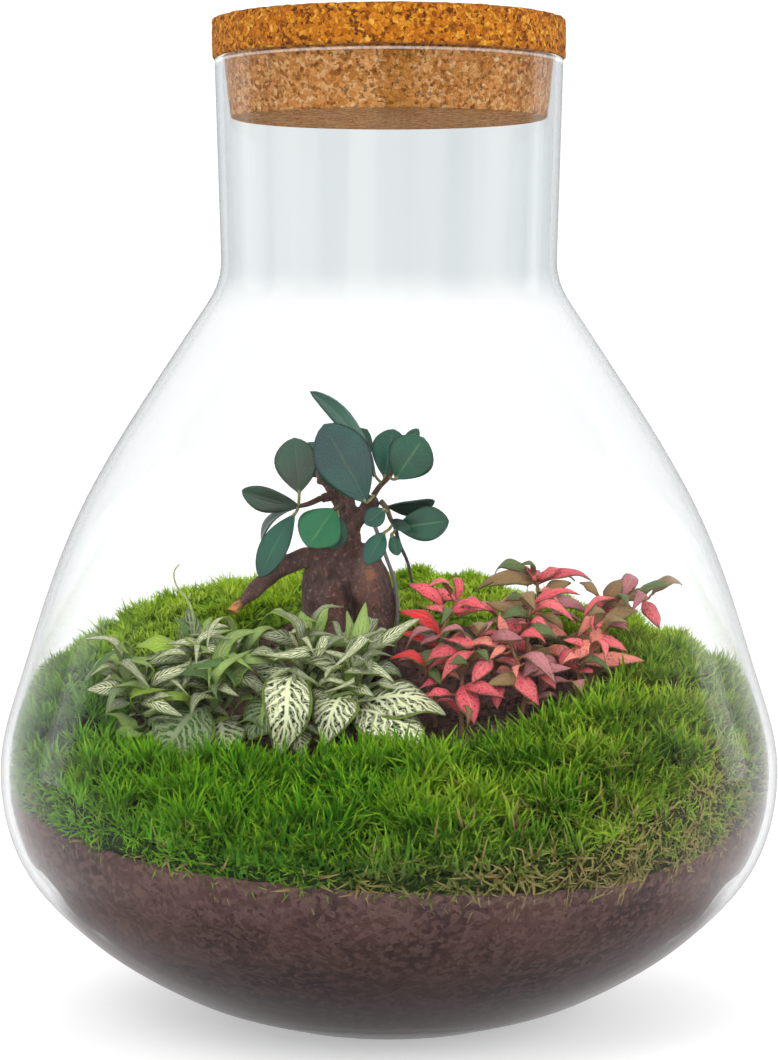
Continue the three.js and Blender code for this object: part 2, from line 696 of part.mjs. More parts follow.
// Soil last, with a plain hole for each thing that stands in it
let soil = soilSolid();
const holeTop = 220;
for (const stem of [...Object.values(whiteStems), ...Object.values(pinkStems)]) {
  const [x, y] = stem.points[0];
  soil = soil.subtract(peg([x, y], fittoniaStyle.stem + 1, soilTop(x, y) - rootDepth - gap, holeTop, 7));
}
const trunkFoot = soilTop(...trunkCentre) - trunkDepth;
soil = soil.subtract(peg(trunkCentre, trunkFootRadius, trunkFoot - gap, holeTop, trunkFaces));
const legEnd = rootLeg.points.at(-1);
const legHole = [...rootLeg.points.slice(0, -1), [legEnd[0], legEnd[1], legEnd[2] - 1]];
soil = soil.subtract(tube(legHole, rootLeg.radius + 0.7, 5, 8));
solids.set('soil', { solid: soil, color: 0x4a3a36, roughness: 0.95 });

const chip = new THREE.DodecahedronGeometry(barkChip.radius).scale(...barkChip.size).rotateZ(barkChip.turn);
const chipHeight = soilTop(...barkChip.place) + barkChip.radius * barkChip.size[2];
solids.set('bark_chip', {
  solid: closedSolid(chip.translate(...barkChip.place, chipHeight)),
  color: 0x6b3a24,
  roughness: 0.9,
});

const terrarium = new THREE.Group();
for (const [name, { solid, color, roughness }] of solids) {
  const { vertProperties, triVerts } = solid.getMesh();
  const geometry = new THREE.BufferGeometry();
  geometry.setAttribute('position', new THREE.BufferAttribute(vertProperties, 3));
  geometry.setIndex(new THREE.BufferAttribute(triVerts, 1));
  geometry.computeVertexNormals();
  const mesh = new THREE.Mesh(geometry, new THREE.MeshStandardMaterial({ color, roughness, metalness: 0 }));
  mesh.name = name;
  terrarium.add(mesh);
}

export default terrarium;
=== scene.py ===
import math
import random

import bmesh
import bpy
from mathutils import Matrix, Vector, noise
from mathutils.bvhtree import BVHTree
from mathutils.geometry import interpolate_bezier


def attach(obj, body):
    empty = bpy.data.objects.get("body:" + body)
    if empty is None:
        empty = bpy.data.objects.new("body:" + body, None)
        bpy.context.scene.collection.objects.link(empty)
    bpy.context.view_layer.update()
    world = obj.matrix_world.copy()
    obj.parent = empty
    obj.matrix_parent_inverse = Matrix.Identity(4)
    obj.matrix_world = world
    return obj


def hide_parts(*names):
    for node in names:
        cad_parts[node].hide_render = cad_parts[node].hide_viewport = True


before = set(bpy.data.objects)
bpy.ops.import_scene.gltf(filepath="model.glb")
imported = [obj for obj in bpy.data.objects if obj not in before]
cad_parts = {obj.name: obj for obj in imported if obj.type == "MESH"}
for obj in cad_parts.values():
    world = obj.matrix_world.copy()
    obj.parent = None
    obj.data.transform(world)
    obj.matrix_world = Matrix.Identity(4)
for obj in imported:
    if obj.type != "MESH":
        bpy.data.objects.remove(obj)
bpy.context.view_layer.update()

# A planted glass terrarium. Sizes in the dictionaries are millimetres unless a note says otherwise.
# Angles round the jar start at the front (-Y) and run toward +X.

mm = 0.001
fullTurn = 2 * math.pi
scene = bpy.context.scene
draw = random.Random(7)
up = Vector((0, 0, 1))
print("frame loaded,", len(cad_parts), "nodes")


def placed(name, data):
    made = bpy.data.objects.new(name, data)
    scene.collection.objects.link(made)
    return made


def meshOf(bm, name):
    mesh = bpy.data.meshes.new(name)
    bm.to_mesh(mesh)
    bm.free()
    return mesh


# Camera, at the height and distance that the picture was taken from
cameraSetup = {"distance": 1314, "height": 301, "pitch": 3.82, "lens": 101.95}
camera = placed("camera", bpy.data.cameras.new("camera"))
camera.location = (0, -cameraSetup["distance"] * mm, cameraSetup["height"] * mm)
camera.rotation_euler = (math.radians(90 - cameraSetup["pitch"]), 0, 0)
camera.data.lens = cameraSetup["lens"]
scene.camera = camera


class Wire:
    # One socket of a material. Python's operators add the Math nodes.
    def __init__(self, tree, socket=None):
        self.tree = tree
        self.socket = socket

    def node(self, kind, settings=None, inputs=None, out=0):
        made = self.tree.nodes.new(kind)
        for key, value in (settings or {}).items():
            if key == "stops":
                ramp = made.color_ramp.elements
                while len(ramp) < len(value):
                    ramp.new(1)
                for stop, (place, colour) in zip(ramp, value):
                    stop.position = place
                    stop.color = colour
            else:
                setattr(made, key, value)
        for key, value in (inputs or {}).items():
            if isinstance(value, Wire):
                self.tree.links.new(value.socket, made.inputs[key])
            else:
                made.inputs[key].default_value = rgb(value) if isinstance(value, str) else value
        return Wire(self.tree, made.outputs[out])

    def math(self, operation, *values):
        return self.node("ShaderNodeMath", {"operation": operation}, dict(enumerate(values)))

    def __add__(self, other):
        return self.math("ADD", self, other)

    def __sub__(self, other):
        return self.math("SUBTRACT", self, other)

    def __rsub__(self, other):
        return self.math("SUBTRACT", other, self)

    def __mul__(self, other):
        return self.math("MULTIPLY", self, other)

    def __abs__(self):
        return self.math("ABSOLUTE", self)

    def most(self, other):
        return self.math("MAXIMUM", self, other)

    def teeth(self):               # 0 halfway between whole numbers, 0.5 at each of them
        return abs(self.math("FRACT", self) - 0.5)

    def step(self, low=0.35, high=0.65):     # 0 below low, 1 above high, smooth between
        ends = {"Value": self, "From Min": low, "From Max": high}
        return self.node("ShaderNodeMapRange", {"interpolation_type": "SMOOTHSTEP"}, ends)

    def mix(self, first, second):  # the first colour where this value is 0, the second where it is 1
        return self.node("ShaderNodeMix", {"data_type": "RGBA"}, {0: self, 6: first, 7: second}, out=2)

    def ramp(self, places, codes):
        stops = [(place, rgb(code)) for place, code in zip(places, codes)]
        return self.node("ShaderNodeValToRGB", {"stops": stops}, {0: self})

    def vector(self, operation, *values, out=0):
        inputs = dict(enumerate((self, *values)))
        return self.node("ShaderNodeVectorMath", {"operation": operation}, inputs, out)

    def scaled(self, x, y, z):
        return self.vector("MULTIPLY", (x, y, z))

    def moved(self, shift):
        return self.vector("ADD", shift)

    def length(self):
        return self.vector("LENGTH", out="Value")

    def split(self, axis):
        return self.node("ShaderNodeSeparateXYZ", inputs={0: self}, out="XYZ".index(axis))

    def noise(self, scale, detail=3.0, rough=0.5, vector=None, out="Fac"):
        inputs = {"Scale": scale, "Detail": detail, "Roughness": rough, "Vector": vector or self.place()}
        return self.node("ShaderNodeTexNoise", inputs=inputs, out=out)

    def cells(self, scale, feature="F1", vector=None, out="Distance"):
        inputs = {"Scale": scale, "Vector": vector or self.place()}
        return self.node("ShaderNodeTexVoronoi", {"feature": feature}, inputs, out)

    def place(self):
        return self.node("ShaderNodeTexCoord", out="Object")

    def map(self):
        return self.node("ShaderNodeTexCoord", out="UV")

    def ray(self, kind):
        return self.node("ShaderNodeLightPath", out=f"Is {kind} Ray")

    def value(self, name):
        return self.node("ShaderNodeAttribute", {"attribute_name": name}, out="Fac")

    def colour(self, name):
        return self.node("ShaderNodeAttribute", {"attribute_name": name}, out="Color")

    def bump(self, height, distance, strength=1.0):
        inputs = {"Height": height, "Distance": distance, "Strength": strength}
        return self.node("ShaderNodeBump", inputs=inputs, out="Normal")


def rgb(code):  # "c58449" as the linear colour that a socket takes
    parts = [int(code[i:i + 2], 16) / 255 for i in (0, 2, 4)]
    return tuple(c / 12.92 if c < 0.04045 else ((c + 0.055) / 1.055) ** 2.4 for c in parts) + (1,)


def surface(name, plain, paint):
    material = bpy.data.materials.new(name)
    material.use_nodes = True
    tree = material.node_tree
    shader = tree.nodes["Principled BSDF"]
    for key, value in plain.items():
        shader.inputs[key].default_value = value
    for key, wire in paint(Wire(tree)).items():
        tree.links.new(wire.socket, shader.inputs[key])
    return material


# Modelling helpers
def smoothLine(points, steps):
    points = [Vector(point) for point in points]
    line = []
    for i, (a, b) in enumerate(zip(points, points[1:])):
        before = points[max(i - 1, 0)]
        after = points[min(i + 2, len(points) - 1)]
        line += interpolate_bezier(a, a + (b - before) / 6, b - (after - a) / 6, b, steps + 1)[:-1]
    return line + [points[-1]]


def newShape():
    bm = bmesh.new()
    bm.loops.layers.uv.new("UVMap")
    bm.verts.layers.float_color.new("tint")
    bm.verts.layers.float.new("mark")
    bm.verts.layers.float.new("under")
    return bm


def pour(target, source, tint=None, mark=0.0, material=0):
    # adds one shape to another, with its colour and its material
    if tint is not None:
        tintLayer = source.verts.layers.float_color["tint"]
        markLayer = source.verts.layers.float["mark"]
        for vertex in source.verts:
            vertex[tintLayer] = tint
            vertex[markLayer] = mark
    for face in source.faces:
        face.material_index = material
    mesh = meshOf(source, "poured")
    target.from_mesh(mesh)
    bpy.data.meshes.remove(mesh)


def sweep(points, radius, sides, steps):
    # a round stem along the points; radius is a number or a rule of how far along
    line = smoothLine(points, steps)
    last = len(line) - 1
    rings = []
    side = Vector((0.31, 0.95, 0.05))
    for i, centre in enumerate(line):
        along = (line[min(i + 1, last)] - line[max(i - 1, 0)]).normalized()
        side = (side - along * side.dot(along)).normalized()
        rings.append((centre, side.copy(), along.cross(side)))
    bm = newShape()
    bmesh.ops.create_grid(bm, x_segments=sides, y_segments=last, size=0.5, calc_uvs=True)
    for vertex in bm.verts:
        far = vertex.co.y + 0.5
        angle = (vertex.co.x + 0.5) * fullTurn
        centre, across, over = rings[round(far * last)]
        thick = radius(far) if callable(radius) else radius
        vertex.co = centre + (across * math.cos(angle) + over * math.sin(angle)) * thick
    bmesh.ops.remove_doubles(bm, verts=bm.verts, dist=1e-6)
    bmesh.ops.holes_fill(bm, edges=[edge for edge in bm.edges if edge.is_boundary], sides=0)
    bmesh.ops.recalc_face_normals(bm, faces=bm.faces)
    return bm


def stampMesh(bm, mesh, place):
    stamp = mesh.copy()
    stamp.transform(place)
    bm.from_mesh(stamp)
    bpy.data.meshes.remove(stamp)


def finishPiece(bm, name, materials, nodes, sharp=None):
    for vertex in bm.verts:
        vertex.co *= mm
    mesh = meshOf(bm, name)
    for material in materials:
        mesh.materials.append(material)
    mesh.shade_smooth()
    if sharp:
        mesh.set_sharp_from_angle(angle=math.radians(sharp))
    piece = placed(name, mesh)
    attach(piece, "root")
    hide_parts(*nodes)


def nodeShape(*names):
    # the CAD nodes as one shape in millimetres, its corners merged
    bm = newShape()
    for name in names:
        bm.from_mesh(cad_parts[name].data)
    for vertex in bm.verts:
        vertex.co /= mm
    bmesh.ops.remove_doubles(bm, verts=bm.verts, dist=1e-3)
    return bm


skyHeight = 300      # rays down to the ground start here
mossPads = ["front", "front_right", "right", "right_rear", "rear_right", "rear_left", "left_rear", "left",
            "front_left"]
groundShape = nodeShape("soil", *["moss_" + name for name in mossPads])
groundTree = BVHTree.FromBMesh(groundShape)
groundShape.free()


def outwardAt(angle):
    return Vector((math.sin(angle), -math.cos(angle), 0))


def groundHeight(x, y):
    # of soil and moss
    hit = groundTree.ray_cast(Vector((x, y, skyHeight)), -up)[0]
    return hit.z if hit else 0.0


def soilHeight(x, y):
    # beside a hole, so that the hole's floor isn't taken for the ground
    return max(groundHeight(x + dx, y + dy) for dx, dy in ((4, 0), (-4, 0), (0, 4), (0, -4)))


# Glass jar
jar = {
    "height": 418, "wall": 3.2, "floor": 8, "rimRadius": 75.6, "rimRound": 0.9, "neckRadius": 72.9,
    "neckHeight": 322.1, "neckBend": 9, "neckFlare": 0.2, "bendReach": 5.85, "baseRadius": 56, "baseRound": 4,
    "turnSteps": 144,
    "innerSlope": 1.9,      # how fast the inside narrows toward the floor
    # radius and height of the outside
    "belly": [(92, 12.5), (132, 37.6), (161.5, 71), (169.9, 112.8), (158.1, 158.8), (140.9, 208.9),
              (119.3, 250.7)],
}


def jarLines():
    # the wall's outer and inner lines, from the foot up
    bendStart = (jar["neckRadius"] + jar["bendReach"], jar["neckHeight"] - jar["neckBend"])
    belly = [(jar["baseRadius"], 0), *jar["belly"], bendStart]
    outside = smoothLine([(r, 0, z) for r, z in belly], 8)
    corner = Vector((jar["neckRadius"], 0, jar["neckHeight"]))
    neckStart = Vector((jar["neckRadius"] + jar["neckFlare"], 0, jar["neckHeight"] + jar["neckBend"]))
    pulled = [end.lerp(corner, 0.67) for end in (outside[-1], neckStart)]
    outside += interpolate_bezier(outside[-1], *pulled, neckStart, 7)[1:]
    neckTop = Vector((jar["rimRadius"], 0, jar["height"] - jar["rimRound"]))
    outside += [neckStart.lerp(neckTop, share / 6) for share in range(1, 7)]
    inside = []
    for i, point in enumerate(outside):
        along = (outside[min(i + 1, len(outside) - 1)] - outside[max(i - 1, 0)]).normalized()
        wall = point + Vector((-along.z, 0, along.x)) * jar["wall"]
        if wall.z > jar["floor"] + 2.5:
            inside.append(wall)
    return outside, inside


jarOutside, jarInside = jarLines()


def glassInside(z):
    # radius of the inner wall at a height
    if z <= jarInside[0].z:
        return jarInside[0].x - (jarInside[0].z - z) * jar["innerSlope"]
    for low, high in zip(jarInside, jarInside[1:]):
        if low.z <= z <= high.z:
            return low.x + (high.x - low.x) * (z - low.z) / (high.z - low.z)
    return jarInside[-1].x


def keepInGlass(bm, clearance):
    for vertex in bm.verts:
        radius = math.hypot(vertex.co.x, vertex.co.y)
        limit = glassInside(vertex.co.z) - clearance
        if radius > limit:
            vertex.co.x *= limit / radius
            vertex.co.y *= limit / radius


def spun(profile, steps):
    bm = newShape()
    line = [bm.verts.new(point) for point in profile]
    edges = [bm.edges.new(pair) for pair in zip(line, line[1:])]
    bmesh.ops.spin(bm, geom=line + edges, cent=(0, 0, 0), axis=(0, 0, 1), angle=fullTurn, steps=steps,
                   use_merge=True)
    bmesh.ops.remove_doubles(bm, verts=bm.verts, dist=1e-4)
    bmesh.ops.recalc_face_normals(bm, faces=bm.faces)
    return bm


def buildJar():
    base = Vector((jar["baseRadius"], 0, 0))
    toBelly = base.lerp(jarOutside[1], 0.6)
    foot = interpolate_bezier(base - Vector((jar["baseRound"], 0, 0)), base, base, toBelly, 5)
    top, rim, wall, lip = jar["height"], jar["rimRadius"], jar["wall"], jar["rimRound"]
    outer, inner = Vector((rim, 0, top)), Vector((rim - wall, 0, top))
    round1 = interpolate_bezier(Vector((rim, 0, top - lip)), outer, outer, Vector((rim - lip, 0, top)), 5)
    round2 = interpolate_bezier(Vector((rim - wall + lip, 0, top)), inner, inner,
                                Vector((rim - wall, 0, top - lip)), 5)
    lowest = jarInside[0]
    floorEdge = Vector((glassInside(jar["floor"]), 0, jar["floor"]))
    profile = [Vector((0, 0, 0)), *foot, *jarOutside[1:-1], *round1, *round2, *reversed(jarInside[:-1])]
    profile += [lowest.lerp(floorEdge, 0.5), floorEdge, Vector((0, 0, jar["floor"]))]
    return spun(profile, jar["turnSteps"])


glassLook = {
    "bend": 1.22, "mirror": (0.25, 0.25, 0.25, 1), "tint": (0.6, 0.68, 0.72, 1), "density": 26,
    # the neck's grey and its streaks are painted shade and painted reflections; the rim colour glows as a
    # painted highlight under the rim
    "neck": "f1f3f3", "streakPaintedReflection": "e8ebec", "belly": "ffffff", "haze": 0.32, "hazeSpread": 0.28,
    "rim": "efe9e4", "rimHighlightGlow": 0.22, "rimHighlightDepth": 2.1, "rimHighlightLine": 0.8, "rimHighlightFade": 1.1,
    "shadow": (0.93, 0.95, 0.95, 1),
}


def paintGlass(wire):
    # the neck is painted cooler and greyer than the belly as painted shade, with vertical streaks of painted
    # reflection, and a bright line under the rim glows as a painted highlight
    height = wire.place().split("Z")
    neck = height.step((jar["neckHeight"] - 14) * mm, (jar["neckHeight"] + 6) * mm)
    # vertical streaks in the neck: painted reflections
    paintedReflectionStreaks = wire.noise(34, 2, 0.5, wire.place().scaled(1, 1, 0.03)).step(0.48, 0.62)
    drawn = paintedReflectionStreaks.mix(glassLook["neck"], glassLook["streakPaintedReflection"])
    clear = neck.mix(glassLook["belly"], drawn)
    # a thin band under the rim glows: a painted highlight
    rim = (jar["height"] - glassLook["rimHighlightDepth"]) * mm
    above = height.step(rim + glassLook["rimHighlightLine"] * mm, rim + glassLook["rimHighlightFade"] * mm)
    line = height.step(rim - 0.2 * mm, rim) * (1 - above)
    return {"Base Color": clear, "Emission Color": line.mix("000000", glassLook["rim"])}


def glassMaterial():
    # the Emission here lights the painted highlight under the rim
    look = {
        "Roughness": 0.0, "IOR": glassLook["bend"], "Transmission Weight": 1.0,
        "Specular Tint": glassLook["mirror"], "Sheen Weight": glassLook["haze"],
        "Sheen Roughness": glassLook["hazeSpread"], "Emission Strength": glassLook["rimHighlightGlow"],
    }
    material = surface("clearGlass", look, paintGlass)
    tree = material.node_tree
    wire = Wire(tree)
    shader = tree.nodes["Principled BSDF"]
    output = tree.nodes["Material Output"]
    clear = wire.node("ShaderNodeBsdfTransparent", inputs={"Color": glassLook["shadow"]})
    glass = Wire(tree, shader.outputs[0])
    both = wire.node("ShaderNodeMixShader", inputs={0: wire.ray("Shadow"), 1: glass, 2: clear})
    tree.links.new(both.socket, output.inputs["Surface"])
    tint = {"Color": glassLook["tint"], "Density": glassLook["density"]}
    body = wire.node("ShaderNodeVolumeAbsorption", inputs=tint)
    tree.links.new(body.socket, output.inputs["Volume"])
    return material


finishPiece(buildJar(), "jarGlass", [glassMaterial()], ["glass_jar"], sharp=40)
print("glass jar blown")


# Cork stopper
cork = {
    "flangeRadius": 76.9, "flangeHeight": 17, "plugTop": 71.6, "plugBottom": 69, "plugDepth": 25.8,
    "round": 1.4, "rough": 0.45, "turnSteps": 180, "faceLength": 2.2,
    "stain": 4, "stainReach": (3, 9),
    "grain": 560,      # granules in a metre
    "shades": (0, 0.12, 0.35, 0.6, 0.85, 1),
    "flange": ("683206", "8e4c08", "ac640e", "bc7014", "ca8a24", "dcac54"),
    # the plug's palette is lighter than the flange's: painted light against the shade inside the neck
    "plugPaintedLight": ("9c5420", "c47a38", "e0924a", "f0a25a", "f8bd80", "fbdab0"),
}


def buildCork():
    low = jar["height"] - cork["plugDepth"]
    top = jar["height"] + cork["flangeHeight"]
    corner = cork["round"]
    corners = [
        (0, low), (cork["plugBottom"], low), (cork["plugTop"], jar["height"]),
        (cork["flangeRadius"], jar["height"]), (cork["flangeRadius"], top), (0, top),
    ]
    points = [Vector((r, 0, z)) for r, z in corners]
    profile = [points[0]]
    for before, point, after in zip(points, points[1:], points[2:]):
        start = point + (before - point).normalized() * corner
        end = point + (after - point).normalized() * corner
        profile += interpolate_bezier(start, start.lerp(point, 0.6), end.lerp(point, 0.6), end, 5)
    profile.append(points[-1])
    fine = []
    for a, b in zip(profile, profile[1:]):
        parts = max(1, round((b - a).length / cork["faceLength"]))
        fine += [a.lerp(b, share / parts) for share in range(parts)]
    fine.append(profile[-1])
    bm = spun(fine, cork["turnSteps"])
    for vertex in bm.verts:
        grain = noise.noise(vertex.co * 0.35) + 0.6 * noise.noise(vertex.co * 0.8)
        inward = Vector((vertex.co.x, vertex.co.y, 0)).normalized()
        if vertex.co.z > low + 0.5 and abs(vertex.co.z - jar["height"]) > 0.3:
            vertex.co -= inward * cork["rough"] * (0.6 + grain)
        if vertex.co.z > top - 0.5:
            vertex.co.z -= cork["rough"] * (0.6 + grain) * 0.6
    return bm


def paintCork(wire):
    # pressed granules: tan to orange, some cream, with dark chips and gaps; the plug below the flange takes a
    # lighter palette, painted light against the shade inside the neck
    place = wire.place()
    warp = wire.noise(420, 3, vector=place, out="Color")
    warped = warp.vector("MULTIPLY_ADD", (0.0035, 0.0035, 0.0035), place)
    pick = wire.cells(cork["grain"], vector=warped, out="Color")
    edge = wire.cells(cork["grain"], "DISTANCE_TO_EDGE", warped)
    fine = wire.noise(1700, 4, 0.65)
    shade = pick.split("X") * 0.85 + (fine - 0.5) * 0.5 + 0.05
    flange = shade.ramp(cork["shades"], cork["flange"])
    # the plug below the flange: painted lighter
    plugPaintedLight = shade.ramp(cork["shades"], cork["plugPaintedLight"])
    top = place.split("Z").step((jar["height"] - 3) * mm, jar["height"] * mm)
    aside = abs(place.split("X") - cork["stain"] * mm)
    near = 1 - aside.step(*[reach * mm for reach in cork["stainReach"]])
    stained = near * (1 - place.split("Y").step(-0.05, 0))
    body = top.mix((stained * fine.step(0.35, 0.55) * 0.6).mix(plugPaintedLight, "c07414"), flange)
    chips = wire.cells(cork["grain"] * 1.3, vector=warped.moved((0.3, 0.2, 0.1)), out="Color").split("Y")
    dark = chips.step(0.84, 0.9) * (top * 0.3 + 0.5) + (1 - edge.step(0.0, 0.1)) * fine.step(0.4, 0.6) * 0.6
    shaded = dark.mix(body, "4a2409")
    height = edge.step(0.0, 0.25) * 0.5 + fine * 0.5
    return {"Base Color": shaded, "Normal": wire.bump(height, 0.0011, 0.8)}


corkFinish = surface("pressedCork", {"Roughness": 0.82, "Specular IOR Level": 0.25}, paintCork)
finishPiece(buildCork(), "corkStopper", [corkFinish], ["cork_lid"], sharp=50)
print("stopper pressed")


# Soil, with crumbs on the open bed
soil = {
    "crumbs": 1400, "crumbSize": (0.5, 1.5), "bedReach": 112, "roughness": 1.1, "clearance": 0.45,
    "wallShare": 0.985, "wallFrom": 9,      # soil past this share of the wall's radius lies against the wall
    "bedFrom": 60,
}


def paintSoil(wire):
    place = wire.place()
    broad = wire.noise(28, 3, 0.55)
    crumb = wire.cells(420, vector=place, out="Color").split("X")
    fine = wire.noise(900, 4, 0.65)
    base = broad.step(0.3, 0.7).mix("453334", "654a44")
    grainy = (crumb.step(0.2, 0.9) * 0.55).mix(base, "81645c")
    dark = (fine.step(0.5, 0.72) * 0.75).mix(grainy, "291f1f")
    specks = wire.cells(150, vector=place).step(0.05, 0.02)
    pale = (specks * wire.noise(55, 1).step(0.58, 0.62) * 0.8).mix(dark, "a89c8a")
    height = fine * 0.6 + crumb * 0.4
    return {"Base Color": pale, "Normal": wire.bump(height, 0.0012, 0.8)}


soilFinish = surface("darkSoil", {"Roughness": 0.95, "Specular IOR Level": 0.15}, paintSoil)


def buildSoil():
    bm = nodeShape("soil")
    bare = BVHTree.FromBMesh(bm)
    bmesh.ops.subdivide_edges(bm, edges=bm.edges, cuts=2, use_grid_fill=True)
    bm.normal_update()
    for vertex in bm.verts:
        radius = math.hypot(vertex.co.x, vertex.co.y)
        limit = glassInside(vertex.co.z) - soil["clearance"]
        if radius > limit * soil["wallShare"] and vertex.co.z > soil["wallFrom"]:
            vertex.co.x *= limit / radius
            vertex.co.y *= limit / radius
        elif vertex.normal.z > 0.3 and vertex.co.z > soil["bedFrom"]:
            lump = noise.noise(vertex.co * 0.09) * 1.3 + noise.noise(vertex.co * 0.4) * 0.7
            vertex.co.z += soil["roughness"] * lump
    crumb = bmesh.new()
    bmesh.ops.create_icosphere(crumb, subdivisions=1, radius=1)
    crumbMesh = meshOf(crumb, "crumb")
    for _ in range(soil["crumbs"]):
        angle = draw.uniform(0, fullTurn)
        radius = soil["bedReach"] * math.sqrt(draw.random())
        x, y = radius * math.sin(angle), -radius * math.cos(angle)
        point = bare.ray_cast(Vector((x, y, skyHeight)), -up)[0]
        if groundHeight(x, y) > point.z + 0.5:
            continue
        size = draw.uniform(*soil["crumbSize"])
        shape = Matrix.Diagonal((size * draw.uniform(0.7, 1.4), size * draw.uniform(0.7, 1.4), size * 0.7, 1))
        turn = (Matrix.Rotation(draw.uniform(0, fullTurn), 4, "Z")
                @ Matrix.Rotation(draw.uniform(-1, 1), 4, "X"))
        stampMesh(bm, crumbMesh, Matrix.Translation(point + up * size * 0.3) @ turn @ shape)
    bpy.data.meshes.remove(crumbMesh)
    keepInGlass(bm, soil["clearance"])
    return bm


finishPiece(buildSoil(), "soilFill", [soilFinish], ["soil"])
print("soil filled")


# Moss: clumps of narrow, arched shoots. A list of twelve goes round the jar, from the front toward the right.
moss = {
    "seed": 60, "reach": 168, "rimReach": 165, "clearance": 0.5, "rayStart": 220,
    "blades": 9, "dryBlades": 5, "bladeWidth": 0.09, "tuftWidth": 10.5, "spacing": 3.6, "rimSpacing": 3.1,
    "kinds": 10, "shortSeed": 80, "dryKinds": 3, "drySeed": 50,
    "short": 10,       # shoots under this length have fewer faces
    "length": [17, 15, 13, 10, 7, 6, 6, 7, 8, 9, 12, 15],
    "dryShare": [0.08, 0.45, 0.5, 0.25, 0.1, 0.1, 0.1, 0.1, 0.1, 0.1, 0.1, 0.08],
    "sink": [1, 1, 1, 1.5, 3, 4, 3.5, 1.5, 1, 1, 1, 1],      # how far the clump's top lies under its solid
    "lean": [0.55, 0.5, 0.45, 0.4, 0.3, 0.2, 0.2, 0.2, 0.3, 0.4, 0.45, 0.55],   # tilt away from the middle
}


def mossAt(key, angle):
    # between the two nearest of a list of twelve
    values = moss[key]
    place = (angle / fullTurn * len(values)) % len(values)
    share = place - int(place)
    return values[int(place)] * (1 - share) + values[(int(place) + 1) % len(values)] * share


def tuftMesh(seed, blades, dry, parts=3):
    # blades of unit length that arch out of one root
    rule = random.Random(seed)
    bm = newShape()
    for number in range(blades):
        heading = fullTurn * (number + rule.uniform(-0.4, 0.4)) / blades
        length = rule.uniform(0.6, 1.1)
        lean = rule.uniform(0.1, 0.6)
        droop = rule.uniform(0.1, 0.6)
        width = moss["bladeWidth"] * rule.uniform(0.7, 1.2)
        blade = newShape()
        bmesh.ops.create_grid(blade, x_segments=1, y_segments=parts, size=0.5, calc_uvs=True)
        for vertex in blade.verts:
            far = vertex.co.y + 0.5
            across = vertex.co.x * width * (1 - far ** 2 * 0.92)
            out = length * (lean * far + droop * far ** 2 * 0.6)
            rise = length * (far - droop * far ** 2.2 * 0.6) * (1 - lean * 0.3)
            vertex.co = Vector((across, out + 0.04, rise))
        root = Vector((rule.uniform(-0.12, 0.12), rule.uniform(-0.12, 0.12), 0))
        blade.transform(Matrix.Translation(root) @ Matrix.Rotation(heading, 4, "Z"))
        pour(bm, blade, rgb("ffffff"), dry)
    return meshOf(bm, "tuft")


def paintMoss(wire):
    far = wire.map().split("Y")
    place = wire.place()
    patch = wire.noise(26, 2)
    shoot = wire.noise(260, 2, 0.6)
    side = place.split("X") * 4.5 + patch - 0.25            # 0 left and middle, 1 right
    back = (place.split("Y") + (patch - 0.5) * 0.05).step(-0.05, 0.06)
    left = 1 - place.split("X").step(-0.14, -0.06)
    fuzz = wire.noise(480, 3, 0.6).step(0.38, 0.62)
    # the dark ground and root colours at the shoots' bases are painted shade, lighter at the back
    ground = side.step(0.2, 0.9).mix("1e300a", "3a3a16")
    root = back.mix(ground, fuzz.mix("3c5e0e", "86ac2c"))
    middle = patch.step().mix("296603", "468808")
    green = (left * 0.7).mix(middle, "74b21a")
    yellow = patch.step().mix("669410", "8bb022")
    front = side.step(0.1, 0.95).mix(green, yellow)
    body = back.mix(front, patch.step().mix("a8c828", "c6de50"))
    # lighter yellow-green tips: partly the shoots' own colour, partly a painted highlight
    tip = side.step(0.1, 0.95).mix("8db81c", "b2c23c")
    grown = (far.step(0.45, 1.0) * shoot.step()).mix(body, tip)
    rusty = (wire.noise(120, 2).step(0.6, 0.7) * side.step(0.2, 0.8) * 0.6).mix(grown, "8c6a34")
    # darker patches between clumps at the front: painted shade
    clumpPaintedShade = (1 - wire.noise(75, 2, 0.5).step(0.32, 0.6)) * (1 - back) * 0.35
    low = (1 - place.split("Z").step(0.078, 0.112)) * side.step(-0.15, 0.3) * 0.75
    rimmed = low.mix(rusty, shoot.step().mix("4c4426", "85794c"))
    # the lower part of each shoot takes the root colour: painted shade at the bases
    shaded = (far.step(0.0, 0.42) * (1 - clumpPaintedShade)).mix(root, rimmed)
    straw = far.step(0.1, 1.0).mix("564420", "988a54")
    return {"Base Color": wire.value("mark").mix(shaded, straw)}


mossFinish = surface("moss", {"Roughness": 0.7, "Specular IOR Level": 0.15}, paintMoss)
tufts = [tuftMesh(seed, moss["blades"], 0) for seed in range(moss["kinds"])]
shortTufts = [tuftMesh(moss["shortSeed"] + seed, moss["blades"], 0, 2) for seed in range(moss["kinds"])]
dryTufts = [tuftMesh(moss["drySeed"] + seed, moss["dryBlades"], 1) for seed in range(moss["dryKinds"])]


def plantTuft(bm, point, axis, length, kinds):
    kind = draw.choice(kinds)
    turn = Matrix.Rotation(draw.uniform(0, fullTurn), 4, "Z")
    size = length * draw.uniform(0.75, 1.2)
    wide = max(size, moss["tuftWidth"] * 0.8)
    tilt = up.rotation_difference(axis).to_matrix().to_4x4()
    stampMesh(bm, kind, Matrix.Translation(point) @ tilt @ turn @ Matrix.Diagonal((wide, wide, size, 1)))


